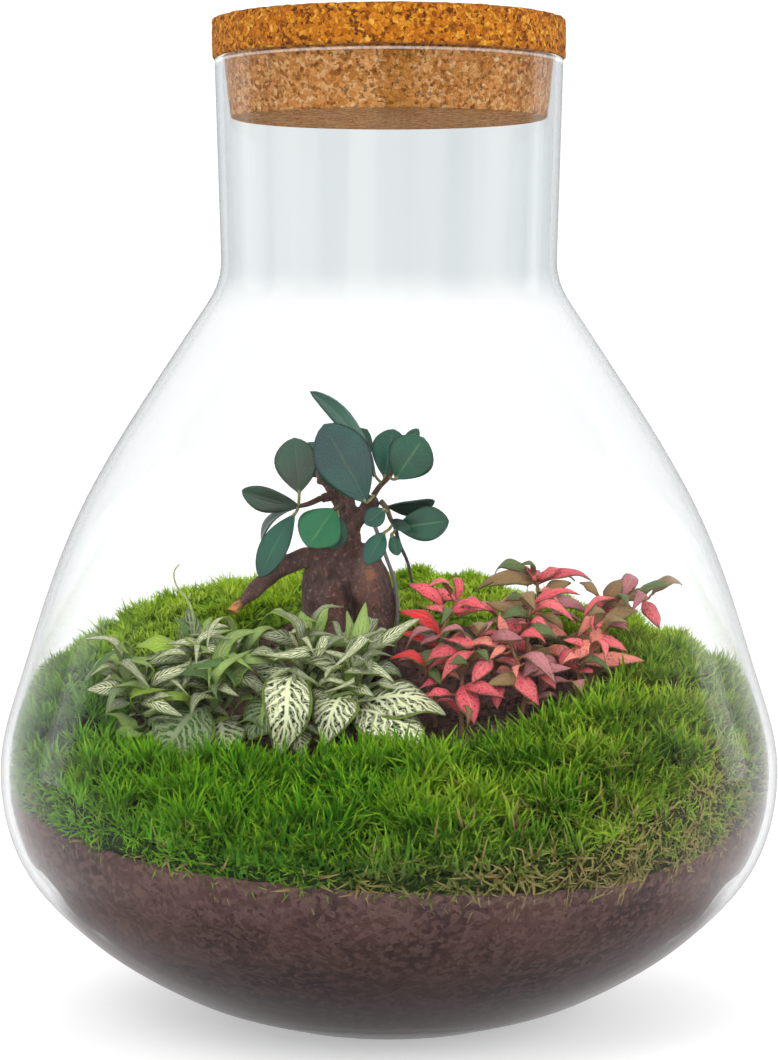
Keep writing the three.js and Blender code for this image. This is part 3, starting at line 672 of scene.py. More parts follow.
def buildMoss(number, name):
    draw.seed(moss["seed"] + number)
    bm = nodeShape("moss_" + name)
    tree = BVHTree.FromBMesh(bm)
    heights = [vertex.co.z for vertex in bm.verts]
    low, high = min(heights), max(heights)
    bmesh.ops.subdivide_edges(bm, edges=bm.edges, cuts=2, use_grid_fill=True)
    bm.normal_update()
    for vertex in bm.verts:
        sink = mossAt("sink", math.atan2(vertex.co.x, -vertex.co.y) % fullTurn)
        vertex.co.z += 0.8 * noise.noise(vertex.co * 0.15) - min(sink, max(1, (vertex.co.z - low) * 0.2))
    width = fullTurn / len(mossPads)
    start = (number - 0.5) * width
    area = width / 2 * moss["reach"] ** 2
    spacing = moss["spacing"] * 1
    long = mossAt("length", number * width)
    for _ in range(int(area / spacing ** 2 * max(1, moss["tuftWidth"] / long))):
        angle = start + draw.random() * width
        radius = moss["reach"] * math.sqrt(draw.random())
        outward = outwardAt(angle)
        point, normal = tree.ray_cast(outward * radius + up * skyHeight, -up)[:2]
        if point is None:
            continue
        axis = up + normal * 0.9 + outward * mossAt("lean", angle) * min(1, radius / 120)
        length = mossAt("length", angle) * (1 + 0.45 * noise.noise(point * 0.09))
        sunk = point - up * (mossAt("sink", angle) + 0.5)
        for _ in range(int(1 / max(0.55, normal.z) + draw.random())):
            leaning = axis + Vector((draw.gauss(0, 0.2), draw.gauss(0, 0.2), 0))
            near = Vector((draw.uniform(-1, 1), draw.uniform(-1, 1), 0))
            dry = draw.random() < mossAt("dryShare", angle) * max(0, radius - 130) / 60
            kinds = dryTufts if dry else shortTufts if length < moss["short"] else tufts
            plantTuft(bm, sunk + near, leaning.normalized(), length, kinds)
    rimArea = width * moss["rimReach"] * (high - low)
    for _ in range(int(rimArea / (moss["rimSpacing"] * spacing / moss["spacing"]) ** 2)):
        angle = start + draw.random() * width
        height = draw.uniform(low, high)
        outward = outwardAt(angle)
        point = tree.ray_cast(outward * moss["rayStart"] + up * height, -outward)[0]
        if point is None or math.hypot(point.x, point.y) < glassInside(height) - 8:
            continue
        sideways = outward.cross(up) * draw.gauss(0, 0.5)
        dry = draw.random() < mossAt("dryShare", angle) * (1.6 if height < low + 9 else 0.5)
        rise = draw.uniform(-0.45, 0.4) if dry else draw.uniform(-0.2, 0.9)
        axis = (outward * 0.7 + up * rise + sideways).normalized()
        length = mossAt("length", angle) * (1.1 if dry else 0.8)
        plantTuft(bm, point - outward * 3, axis, length, dryTufts if dry else tufts)
    keepInGlass(bm, moss["clearance"])
    return bm


for number, name in enumerate(mossPads):
    title = "moss" + name.title().replace("_", "")
    finishPiece(buildMoss(number, name), title, [mossFinish], ["moss_" + name])
print("moss laid")


# Leaves. A row gives base x, y, z, tip x, y, z, width, bow, colour and sometimes a turn about the length.
def bunched(far):
    # rows of faces lie closer at both ends of a leaf
    return far * 0.4 + (0.5 - 0.5 * math.cos(math.pi * far)) * 0.6


def bladeShape(row, style, root):
    base, tip = Vector(row[:3]), Vector(row[3:6])
    width, bow, _, turn = (*row[6:], 0)[:4]
    stalked = (root - base).length > 3.5
    if not stalked:
        base = root.copy()
    along = tip - base
    length = along.length
    along.normalize()
    facing = Vector(style["facing"])
    facing = (facing - along * facing.dot(along)).normalized()
    facing.rotate(Matrix.Rotation(math.radians(turn), 3, along))
    across = along.cross(facing)
    phase = draw.uniform(0, fullTurn)
    twist = math.radians(draw.uniform(-style["twist"], style["twist"]))
    bow *= draw.uniform(1, style["arch"])
    bm = newShape()
    bmesh.ops.create_grid(bm, x_segments=style["across"], y_segments=style["along"], size=0.5, calc_uvs=True)
    uv = bm.loops.layers.uv["UVMap"]
    for face in bm.faces:
        for loop in face.loops:
            loop[uv].uv.y = bunched(loop[uv].uv.y)
    for vertex in bm.verts:
        side = vertex.co.x * 2
        far = bunched(vertex.co.y + 0.5)
        shape = math.sin(math.pi * min(far, 0.99999) ** style["widest"]) ** style["fullness"]
        half = max(style["stalk"] * (1 - far), shape * width / 2)
        reach = abs(side) * half
        lift = length * bow * 4 * far * (1 - far) + reach * style["fold"]
        lift += style["wave"] * math.sin(far * style["waves"] + phase + side) * side ** 2 * (1 - far * 0.5)
        lift -= style["crease"] * math.exp(-(reach / 0.9) ** 2) * math.sin(math.pi * far)
        turned = twist * (far - 0.3)
        sideways = across * math.cos(turned) + facing * math.sin(turned)
        outward = facing * math.cos(turned) - across * math.sin(turned)
        vertex.co = base + along * (length * far) + sideways * (side * half) + outward * lift
    for vertex in bm.verts:
        vertex.co.z = max(vertex.co.z, groundHeight(vertex.co.x, vertex.co.y) + 1.2)
    bmesh.ops.remove_doubles(bm, verts=bm.verts, dist=1e-4)
    sheet = bm.faces[:] + bm.edges[:] + bm.verts[:]
    grown = bmesh.ops.extrude_face_region(bm, geom=sheet, use_keep_orig=True)["geom"]
    under = bm.verts.layers.float["under"]
    for vertex in grown:
        if isinstance(vertex, bmesh.types.BMVert):
            vertex.co -= facing * style["thickness"]
            vertex[under] = 1
    bmesh.ops.recalc_face_normals(bm, faces=bm.faces)
    return bm, base, stalked


def growLeaf(bm, row, style, stemLine, colours):
    base = Vector(row[:3])
    root = min(stemLine, key=lambda point: (point - base).length)
    blade, base, stalked = bladeShape(row, style, root)
    code, mark = colours[row[8]]
    shade = draw.uniform(0.85, 1.15)
    pour(bm, blade, tuple(min(1, c * shade) for c in rgb(code)[:3]) + (1,), mark)
    if stalked:
        inward = (Vector(row[3:6]) - base).normalized()
        points = [root, root.lerp(base, 0.5) - up * 0.6, base, base + inward * 1.5]
        pour(bm, sweep(points, style["stalk"] * 0.85, 6, 3), rgb(style["stalkColour"]), 0, 1)


def stemPoints(stem):
    # a stem whose first point has no height is rooted in the soil
    first = stem["points"][0]
    if len(first) == 2:
        ground = soilHeight(*first)
        return [*((*first, ground + rise) for rise in (-6, -2, 2)), *stem["points"][1:]]
    return stem["points"]


aboveGround = 22     # the first point of a rooted stem's line that a leaf may start from


def growStem(stem, style, colours, name, materials, nodes):
    points = stemPoints(stem)
    line = smoothLine(points, 10)
    bm = newShape()
    thick = style["stem"]
    pour(bm, sweep(points, lambda far: thick * (1.05 - 0.35 * far), 8, 5), rgb(style["stemColour"]), 0, 1)
    if "hanging" in stem:
        root = sweep(stem["hanging"], lambda far: 1.0 - 0.4 * far, 8, 6)
        pour(bm, root, rgb(style["hangingColour"]), 0, 1)
    for wirePoints in stem.get("wires", []):
        pour(bm, sweep(wirePoints, lambda far: 0.6 - 0.3 * far, 6, 5), rgb(style["wireColour"]), 0, 1)
    near = line[aboveGround if len(points) > len(stem["points"]) else 2:-2]
    for row in stem["leaves"]:
        growLeaf(bm, row, style, near, colours)
    for row in stem.get("fill", []):
        growLeaf(bm, row, style, line, colours)
    finishPiece(bm, name, materials, nodes)


# Ficus: swollen trunk
trunk = {
    "centre": (-19, 2), "depth": 10, "voxel": 0.9, "smooth": 4, "wrinkle": 1.0,
    "grooveTop": 196, "grooveDepth": 3.4, "grooveWidth": 3, "grooveSlope": 0.26,
    "cutTip": (-68.5, -12, 177.8), "cutRadius": 7.5, "spot": (-7, -12, 195), "spotRadius": 5,
}


def ball(place, radii):
    bm = newShape()
    bmesh.ops.create_uvsphere(bm, u_segments=32, v_segments=20, radius=1)
    bm.transform(Matrix.Translation(place) @ Matrix.Diagonal((*radii, 1)))
    return bm


def buildTrunk():
    x, y = trunk["centre"]
    foot = soilHeight(x + 12, y) - trunk["depth"] + 2
    bm = newShape()
    lobes = [
        ((x + 7, y - 2, 173), (14.8, 14, 34)),
        ((x - 8, y + 1, 181), (12, 12.5, 27)),
        ((x - 1, y, 198), (17, 9.5, 10)),
        ((x - 6, y - 3, 158), (9, 9, 22)),
        ((x + 1, y + 6, 165), (13, 9, 26)),
    ]
    for place, radii in lobes:
        pour(bm, ball(place, radii))
    limbs = [
        ([(x, y, foot), (x, y, 152)], lambda far: 12.4),
        ([(x, y - 1, 200), (x + 1, y, 213), (x, y + 1, 224), (x - 8, y + 1, 238)],
         lambda far: 5.7 - 0.7 * far),
        ([(x - 8, y + 1, 233), (x - 9, y + 1, 243)], lambda far: 5.2 - 0.4 * far),
        ([(x + 1, y, 213), (x + 8, y - 3, 221), (x + 12, y - 4, 228)], lambda far: 3.8 - 0.8 * far),
        ([(x + 8, y - 4, 221), (x + 14.4, y - 7.6, 225.6)], lambda far: 2.3 - 0.5 * far),
        ([(x + 2, y - 2, 216), (x - 1, y - 8, 224.6)], lambda far: 2.3 - 0.4 * far),
        ([(x - 3, y, 229), (x - 10.5, y - 4.5, 227.3)], lambda far: 2.3 - 0.4 * far),
        ([(x - 6, y, 232), (x - 6, y + 7, 234.7)], lambda far: 2.2 - 0.4 * far),
        ([(x + 4, y - 2, 196), (x - 8, y - 4, 200), (x - 18, y - 5, 201.5), (x - 33, y - 9, 193),
          (x - 47, y - 13, 181), (x - 49.5, y - 14, 177.8)], lambda far: 4.8 - 2.5 * far + 0.9 * far ** 8),
        ([(-28, -3, 168), (-37, -8, 153), (-41, -12, 139), (-43, -14, 128)], lambda far: 4.4 - 1.2 * far),
    ]
    for points, radius in limbs:
        pour(bm, sweep(points, radius, 16, 6))
    rough = placed("trunkRough", meshOf(bm, "trunkRough"))
    remesh = rough.modifiers.new("remesh", "REMESH")
    remesh.mode = "VOXEL"
    remesh.voxel_size = trunk["voxel"]
    smooth = rough.modifiers.new("smooth", "SMOOTH")
    smooth.iterations = trunk["smooth"]
    smooth.factor = 0.5
    bpy.context.view_layer.update()
    made = bpy.data.meshes.new_from_object(rough.evaluated_get(bpy.context.evaluated_depsgraph_get()))
    bpy.data.objects.remove(rough)
    bm = newShape()
    bm.from_mesh(made)
    bm.normal_update()
    mark = bm.verts.layers.float["mark"]
    for vertex in bm.verts:
        place = vertex.co
        folds = noise.noise(Vector((place.x * 0.13, place.y * 0.13, place.z * 0.07)))
        creases = abs(noise.noise(Vector((place.x * 0.3, place.y * 0.3, place.z * 0.09 + 7))))
        rings = noise.noise(Vector((place.x * 0.12, place.y * 0.12, place.z * 0.9)))
        fine = noise.noise(place * 1.1)
        depth = folds * 1.5 - 0.8 * math.exp(-(creases / 0.05) ** 2) + rings * 0.18 + fine * 0.16
        if place.y < y and place.z < trunk["grooveTop"]:
            below = trunk["grooveTop"] - place.z
            middle = x - 2 + trunk["grooveSlope"] * below + 3 * noise.noise(Vector((0, 0, place.z * 0.06)))
            across = (place.x - middle) / trunk["grooveWidth"]
            depth -= trunk["grooveDepth"] * min(1, below / 14) * math.exp(-across ** 2)
        vertex.co = place + vertex.normal * depth * trunk["wrinkle"]
        # the depth is kept as the mark, whose low values paint shade into the creases and the groove
        vertex[mark] = depth
    # the thin air root, whose high mark paints it grey
    air = [(-9, -2, 222), (-5, -5, 212), (-1, -5, 201), (2.8, -2.4, 189), (3.6, -1.4, 174), (2.1, -1.4, 158)]
    pour(bm, sweep(air, lambda far: 1.0 - 0.2 * far, 8, 6), rgb("8d8684"), 5)
    return bm


def paintTrunk(wire):
    place = wire.place()
    long = place.scaled(1, 1, 0.55)
    broad = wire.noise(75, 3, 0.6, long)
    fine = wire.noise(520, 5, 0.65, long)
    flecks = wire.noise(560, 2, 0.5, place)
    mark = wire.value("mark")
    base = broad.step(0.3, 0.7).mix("3f2d2b", "6c524c")
    warm = wire.noise(60, 2, 0.5, place.moved((3, 1, 2))).step(0.5, 0.72)
    bark = (warm * 0.4).mix(base, "75463a")
    speckled = (flecks.step(0.58, 0.7) * 0.5).mix(bark, "ab7a66")
    # creases and the groove, where the mark is low, are darkened: painted shade
    dark = ((1 - mark.step(-2.2, -0.4)) * 0.75).mix(speckled, "241714")
    grain = (fine.step(0.5, 0.75) * 0.35).mix(dark, "9a8580")
    spots = []
    for centre, radius in ((trunk["cutTip"], trunk["cutRadius"]), (trunk["spot"], trunk["spotRadius"])):
        away = place.moved([-value * mm for value in centre]).length()
        spots.append(1 - (away + (flecks - 0.5) * 0.006).step(radius * 0.4 * mm, radius * mm))
    worn = (spots[1] * 0.5).mix(grain, "b0754e")
    cut = spots[0].mix(worn, "cf8f56")
    grey = mark.step(2, 3).mix(cut, "817a7c")
    height = fine * 0.6 + broad * 0.4
    return {"Base Color": grey, "Normal": wire.bump(height, 0.0016, 0.9)}


barkFinish = surface("trunkBark", {"Roughness": 0.72, "Specular IOR Level": 0.3}, paintTrunk)
finishPiece(buildTrunk(), "ficusTrunk", [barkFinish], ["ficus_trunk"])
print("trunk grown")


# Ficus: leathery leaves
ficusStyle = {
    "facing": (0, -1, 0.15), "widest": 1.3, "fullness": 0.62, "fold": 0.1, "thickness": 0.55, "stalk": 0.8,
    "stem": 1.3, "across": 10, "along": 14, "wave": 0.35, "waves": 9, "crease": 0.4, "twist": 8, "arch": 1.3,
    "stemColour": "5c4a3a", "stalkColour": "8c8a5a", "hangingColour": "3a3638",
}
ficusColours = {
    "slate": ("2f4a48", 0.1), "olive": ("414c40", 0.1), "teal": ("1e4d40", 0.2),
    "bright": ("1d6439", 0.25), "deep": ("1b4432", 0.3), "shade": ("172f26", 0.1),
}
ficusShoots = {
    "Left": {"points": [[-29.9, -2.8, 227.2], [-35, -6, 225], [-40, -10, 224]], "leaves": [
        [-39, -12, 230, -41, -14, 254, 19, 0.06, "olive"],
        [-40, -9, 226, -64, -12, 231, 12, 0.08, "olive", -30],
        [-41, -12, 221, -56, -20, 194, 12.5, 0.12, "teal", 10],
        [-40, -8, 222, -56, 3, 205, 8, 0.2, "shade", 60],
    ]},
    "Front": {"points": [[-20.6, -7.4, 225.4], [-22, -11, 224], [-24, -15, 223]], "leaves": [
        [-24, -16, 223, -35, -27, 208, 20, 0.05, "bright"],
        [-22, -12, 220, -25, -18, 206, 12, 0.1, "deep"],
    ]},
    "Top": {"points": [[-6.75, -2.1, 228.4], [-4, -3, 232.5], [1, -3, 238], [6, 6, 249]], "leaves": [
        [-10, -14, 226, -28, -20, 260, 25, 0.06, "slate"],
        [-6, -4, 237, -34, -12, 274, 14, 0.08, "teal", 55],
        [-2, 4, 236, 2, 8, 257, 16, 0.05, "teal"],
        [3, -10, 236, 15, -14, 254, 21, 0.08, "deep"],
        [6, 6, 249, 13, 8, 257, 6, 0, "deep"],
    ]},
    "Right": {"points": [[-3.5, -6, 226], [-1, -8, 223], [1, -9, 218], [4, -8, 214]],
              "hanging": [[2.5, -8.6, 216], [4.5, -9, 208], [8, -10, 200], [10, -11, 191]], "leaves": [
        [1, -6, 225, 20, -8, 226, 10, 0.1, "shade", 55],
        [5, -8, 213, 26, -14, 218, 15.5, 0.05, "deep"],
        [-2, -14, 223, -10, -20, 217, 9, 0.1, "teal"],
        [-2, -14, 213, -10, -22, 200, 9.5, 0.15, "teal"],
        [1, -12, 212, 4, -14, 203, 6, 0.1, "deep"],
        [3, -10, 219, 9, -16, 214, 5, 0.1, "shade"],
    ]},
    "Back": {"points": [[-25, 9.5, 235], [-25, 14, 238], [-23, 18, 241]], "leaves": [
        [-28, 14, 238, -33, 17, 248, 10, 0.05, "shade"],
        [-22, 19, 242, -10, 30, 256, 17, 0.06, "deep", 170],
        [-25, 19, 240, -44, 32, 244, 16, 0.08, "teal", 160],
        [-22, 18, 238, -14, 34, 226, 15, 0.1, "deep", 180],
    ]},
}


def leafPlace(wire):
    # how far a spot lies from the midrib and how far along the leaf, both from 0 to 1
    spot = wire.map()
    return abs(spot.split("X") - 0.5) * 2, spot.split("Y")


def paintFicus(wire):
    across, far = leafPlace(wire)
    mark = wire.value("mark")
    soft = wire.noise(60, 2)
    base = (soft.step() * 0.35).mix(wire.colour("tint"), "2b6b52")
    rib = (1 - across.step(0.02, 0.09)) * (1 - far.step(0.75, 1.0))
    side = (far * 9 - across * 2.6).teeth()
    vein = (1 - side.step(0.03, 0.12)) * (1 - across.step(0.75, 0.95)) * 0.25
    pale = (rib * mark * 0.6).mix(base, "93b06c")
    veined = (vein * mark).mix(pale, "6fa383")
    rim = (across.step(0.86, 0.98) * 0.6).mix(veined, "16281f")
    raised = wire.bump(rib * 0.6 + vein * 0.5, 0.0006, 0.5)
    return {"Base Color": rim, "Roughness": soft * 0.12 + 0.3, "Normal": raised}


def paintStem(wire):
    fleck = wire.noise(500, 3, 0.6)
    return {"Base Color": (fleck.step(0.45, 0.7) * 0.4).mix(wire.colour("tint"), "2c221c")}


waxed = {"Specular IOR Level": 0.45, "Coat Weight": 0.12, "Coat Roughness": 0.25}
ficusFinish = surface("ficusLeaf", waxed, paintFicus)
stemFinish = surface("plantStem", {"Roughness": 0.6, "Specular IOR Level": 0.3}, paintStem)
for name, shoot in ficusShoots.items():
    growStem(shoot, ficusStyle, ficusColours, "ficusShoot" + name, [ficusFinish, stemFinish],
             ["ficus_shoot_" + name.lower()])
print("ficus leaved")


# Leaves that a fittonia has besides the ones in its rows: they stand out in turns up each stem
def fillLeaves(stem, fill, kinds=None):
    line = smoothLine(stemPoints(stem), 10)[aboveGround:]
    rows = []
    heading = draw.uniform(0, fullTurn)
    for number in range(fill["count"]):
        heading += 2.4
        root = line[int((number + draw.random()) / fill["count"] * (len(line) - 1))]
        size = draw.uniform(*fill["length"])
        out = Vector((math.cos(heading), math.sin(heading), draw.uniform(*fill["rise"]))).normalized()
        base = root + out * draw.uniform(2.5, 6)
        tip = base + out * size - up * size * draw.uniform(0.05, 0.4)
        width = size * draw.uniform(*fill["slim"])
        turn = draw.uniform(-25, 25)
        rows.append([*base, *tip, width, fill["bow"], draw.choice(kinds or fill["kinds"]), turn])
    return rows


# White-veined fittonia
whiteStyle = {
    "facing": (0, -0.6, 0.8), "widest": 0.85, "fullness": 0.85, "fold": -0.2, "thickness": 0.5, "stalk": 0.6,
    "stem": 1.1, "across": 8, "along": 14, "wave": 1.0, "waves": 13, "crease": 0.5, "twist": 50, "arch": 1.7,
    "stemColour": "6f8052", "stalkColour": "8fa168", "wireColour": "a3b176",
}
whiteColours = {
    "veined": ("1b3018", 1.0), "faint": ("3a6026", 0.35), "lime": ("94b424", 0.15),
    "pale": ("86aa3c", 0.3), "grey": ("2c4628", 0.6), "plain": ("3f7420", 0.15),
    "slate": ("22352b", 0.5), "cream": ("c6cda6", 0.2),
}
whiteFill = {
    "seed": 21, "count": 20, "length": (12, 22), "slim": (0.3, 0.44), "rise": (-0.3, 0.9), "bow": 0.28,
    "kinds": ["veined", "slate", "veined", "slate", "faint"],
}
ribbonFill = {
    "count": 26, "length": (15, 28), "slim": (0.12, 0.22), "rise": (0.2, 1.8), "bow": 0.45,
    "kinds": ["veined", "grey", "veined", "pale", "veined", "slate"],
}
leftRibbons = {"from": 3, "kinds": ["pale", "veined", "grey", "pale", "plain", "lime", "veined"]}
whiteStems = [
    {"points": [[-15, -45], [-15, -44, 148], [-15, -40, 157]], "leaves": [
        [-14, -48, 140, 15, -66, 127, 30, 0.15, "veined", -10],
        [-12, -46, 143, 24, -50, 138, 26, 0.15, "veined"],
        [-18, -44, 148, -44, -46, 159, 18, 0.25, "grey"],
        [-15, -48, 142, -18, -50, 164, 8, 0.1, "lime"],
        [-15, -40, 152, -10, -38, 185, 8, 0.05, "pale"],
        [-16, -40, 156, -18, -36, 181, 6, 0.1, "pale"],
        [-12, -40, 157, -2, -38, 172, 14, 0.1, "grey"],
        [-8, -40, 162, 13, -40, 178, 7, 0.1, "veined"],
        [-18, -48, 147, -27, -64, 127, 20, 0.2, "veined"],
    ]},
    {"points": [[-38, -46], [-37, -46, 142], [-36, -42, 157], [-33, -33, 164]], "leaves": [
        [-38, -49, 156, -48, -69, 122, 22, 0.25, "veined"],
        [-42, -40, 148, -61, -40, 157, 16, 0.2, "grey"],
        [-44, -44, 144, -59, -56, 128, 22, 0.2, "faint"],
        [-39, -50, 134, -36, -60, 122, 12, 0.15, "veined"],
        [-34, -33, 162, -19, -32, 168, 12, 0.15, "faint"],
        [-34, -34, 161, -38, -26, 180, 9, 0.15, "pale"],
        [-33, -32, 164, -24, -26, 183, 8, 0.15, "pale"],
        [-36, -38, 158, -52, -26, 162, 13, 0.15, "plain"],
    ]},
    {"points": [[-72, -44], [-73, -45, 143], [-71, -43, 150], [-64, -37, 157]], "leaves": [
        [-78, -47, 141, -97, -62, 122, 30, 0.15, "faint"],
        [-74, -46, 138, -67, -60, 120, 22, 0.15, "grey"],
        [-71, -45, 147, -52, -42, 173, 8, 0.3, "pale"],
        [-64, -37, 156, -54, -32, 173, 12, 0.15, "plain"],
        [-67, -45, 148, -57, -50, 161, 10, 0.2, "pale"],
        [-65, -36, 156, -74, -26, 166, 12, 0.15, "plain"],
        [-64, -34, 155, -56, -18, 158, 14, 0.2, "faint"],
    ]},
    {"points": [[-85, -38], [-84, -40, 148], [-82, -37, 158]], "leaves": [
        [-86, -41, 160, -107, -46, 167, 13, 0.15, "lime"],
        [-84, -42, 155, -106, -52, 158, 9, 0.25, "grey"],
        [-82, -37, 158, -86, -34, 182, 13, 0.05, "faint"],
        [-82, -36, 160, -76, -32, 178, 9, 0.1, "pale"],
        [-86, -42, 145, -99, -42, 150, 10, 0.2, "plain"],
        [-84, -34, 154, -88, -16, 160, 13, 0.2, "faint"],
    ], "wires": [
        [[-82, -37, 156], [-83, -37, 170], [-84, -38, 181], [-86, -38, 186], [-90.5, -38, 192],
         [-91.5, -38, 197.5], [-89.3, -38, 201]],
        [[-86, -38, 185.5], [-84.3, -38, 189]],
    ]},
    {"points": [[-98, -46], [-104, -50, 140], [-107, -50, 146], [-110, -45, 156]], "leaves": [
        [-106, -54, 133, -118, -58, 140, 8, 0.1, "pale"],
        [-104, -57, 131, -114, -66, 133, 7, 0.1, "pale"],
        [-110, -45, 155, -123, -48, 161, 7, 0.1, "veined"],
        [-109, -44, 156, -114, -40, 168, 6, 0.1, "pale"],
        [-103, -51, 139, -96, -60, 141, 8, 0.15, "grey"],
        [-106, -44, 148, -104, -28, 156, 10, 0.2, "plain"],
        [-114.7, -53, 125, -119, -54, 135, 3.2, 0.1, "cream"],
        [-114.7, -53, 125, -113, -54, 137, 3.2, 0.1, "cream"],
        [-114.7, -53, 125, -108, -55, 131, 3.2, 0.1, "cream"],
    ], "wires": [
        [[-110, -47, 152], [-116.7, -50, 148.7], [-119.3, -52, 137], [-115.5, -54, 126.5], [-101, -56, 121.5],
         [-96, -56, 114]],
        [[-107, -52, 139], [-117, -54, 134], [-122, -55, 128], [-110.5, -57, 120], [-107, -58, 104]],
        [[-112, -53, 128], [-121, -58, 118], [-117, -61, 109], [-109, -62, 103]],
    ]},
]


def paintWhite(wire):
    # cream veins: a midrib, slanting side veins that fork, and a fine net between them
    across, far = leafPlace(wire)
    wobble = wire.noise(190, 2, 0.6) - 0.5
    slant = far * 9 - across * 2.6 + wobble * 1.8
    thin = across * 0.12
    veins = 1 - (slant.teeth() + thin).step(0.17, 0.28)
    forks = (slant * 2 + wobble * 2).teeth()
    forked = (1 - (forks + thin).step(0.16, 0.3)) * across.step(0.2, 0.45) * 0.9
    rib = 1 - across.step(0.05, 0.14)
    net = wire.cells(11, "DISTANCE_TO_EDGE", wire.map().scaled(0.9, 1.7, 1))
    fine = (1 - net.step(0.03, 0.12)) * 0.5
    lines = veins.most(forked).most(rib).most(fine) * (1 - across.step(0.82, 0.95))
    soft = wire.noise(45, 2)
    base = (soft.step() * 0.3).mix(wire.colour("tint"), "1d3526")
    veined = (lines * wire.value("mark")).mix(base, "eaedbe")
    edge = (across.step(0.86, 1.0) * 0.5).mix(veined, "a3bd42")
    below = (wire.value("under") * 0.75).mix(edge, "84994f")
    return {"Base Color": below, "Normal": wire.bump((1 - lines) * 0.8, 0.0009, 0.6)}


whiteFinish = surface("whiteVeinedLeaf", {"Roughness": 0.5, "Specular IOR Level": 0.35}, paintWhite)
draw.seed(whiteFill["seed"])
for number, stem in enumerate(whiteStems, 1):
    ribbons = leftRibbons["kinds"] if number >= leftRibbons["from"] else None
    stem["fill"] = fillLeaves(stem, whiteFill) + fillLeaves(stem, ribbonFill, ribbons)
    growStem(stem, whiteStyle, whiteColours, f"whiteFittonia{number}",
             [whiteFinish, stemFinish], [f"white_fittonia_stem_{number}"])
print("white-veined plant grown")


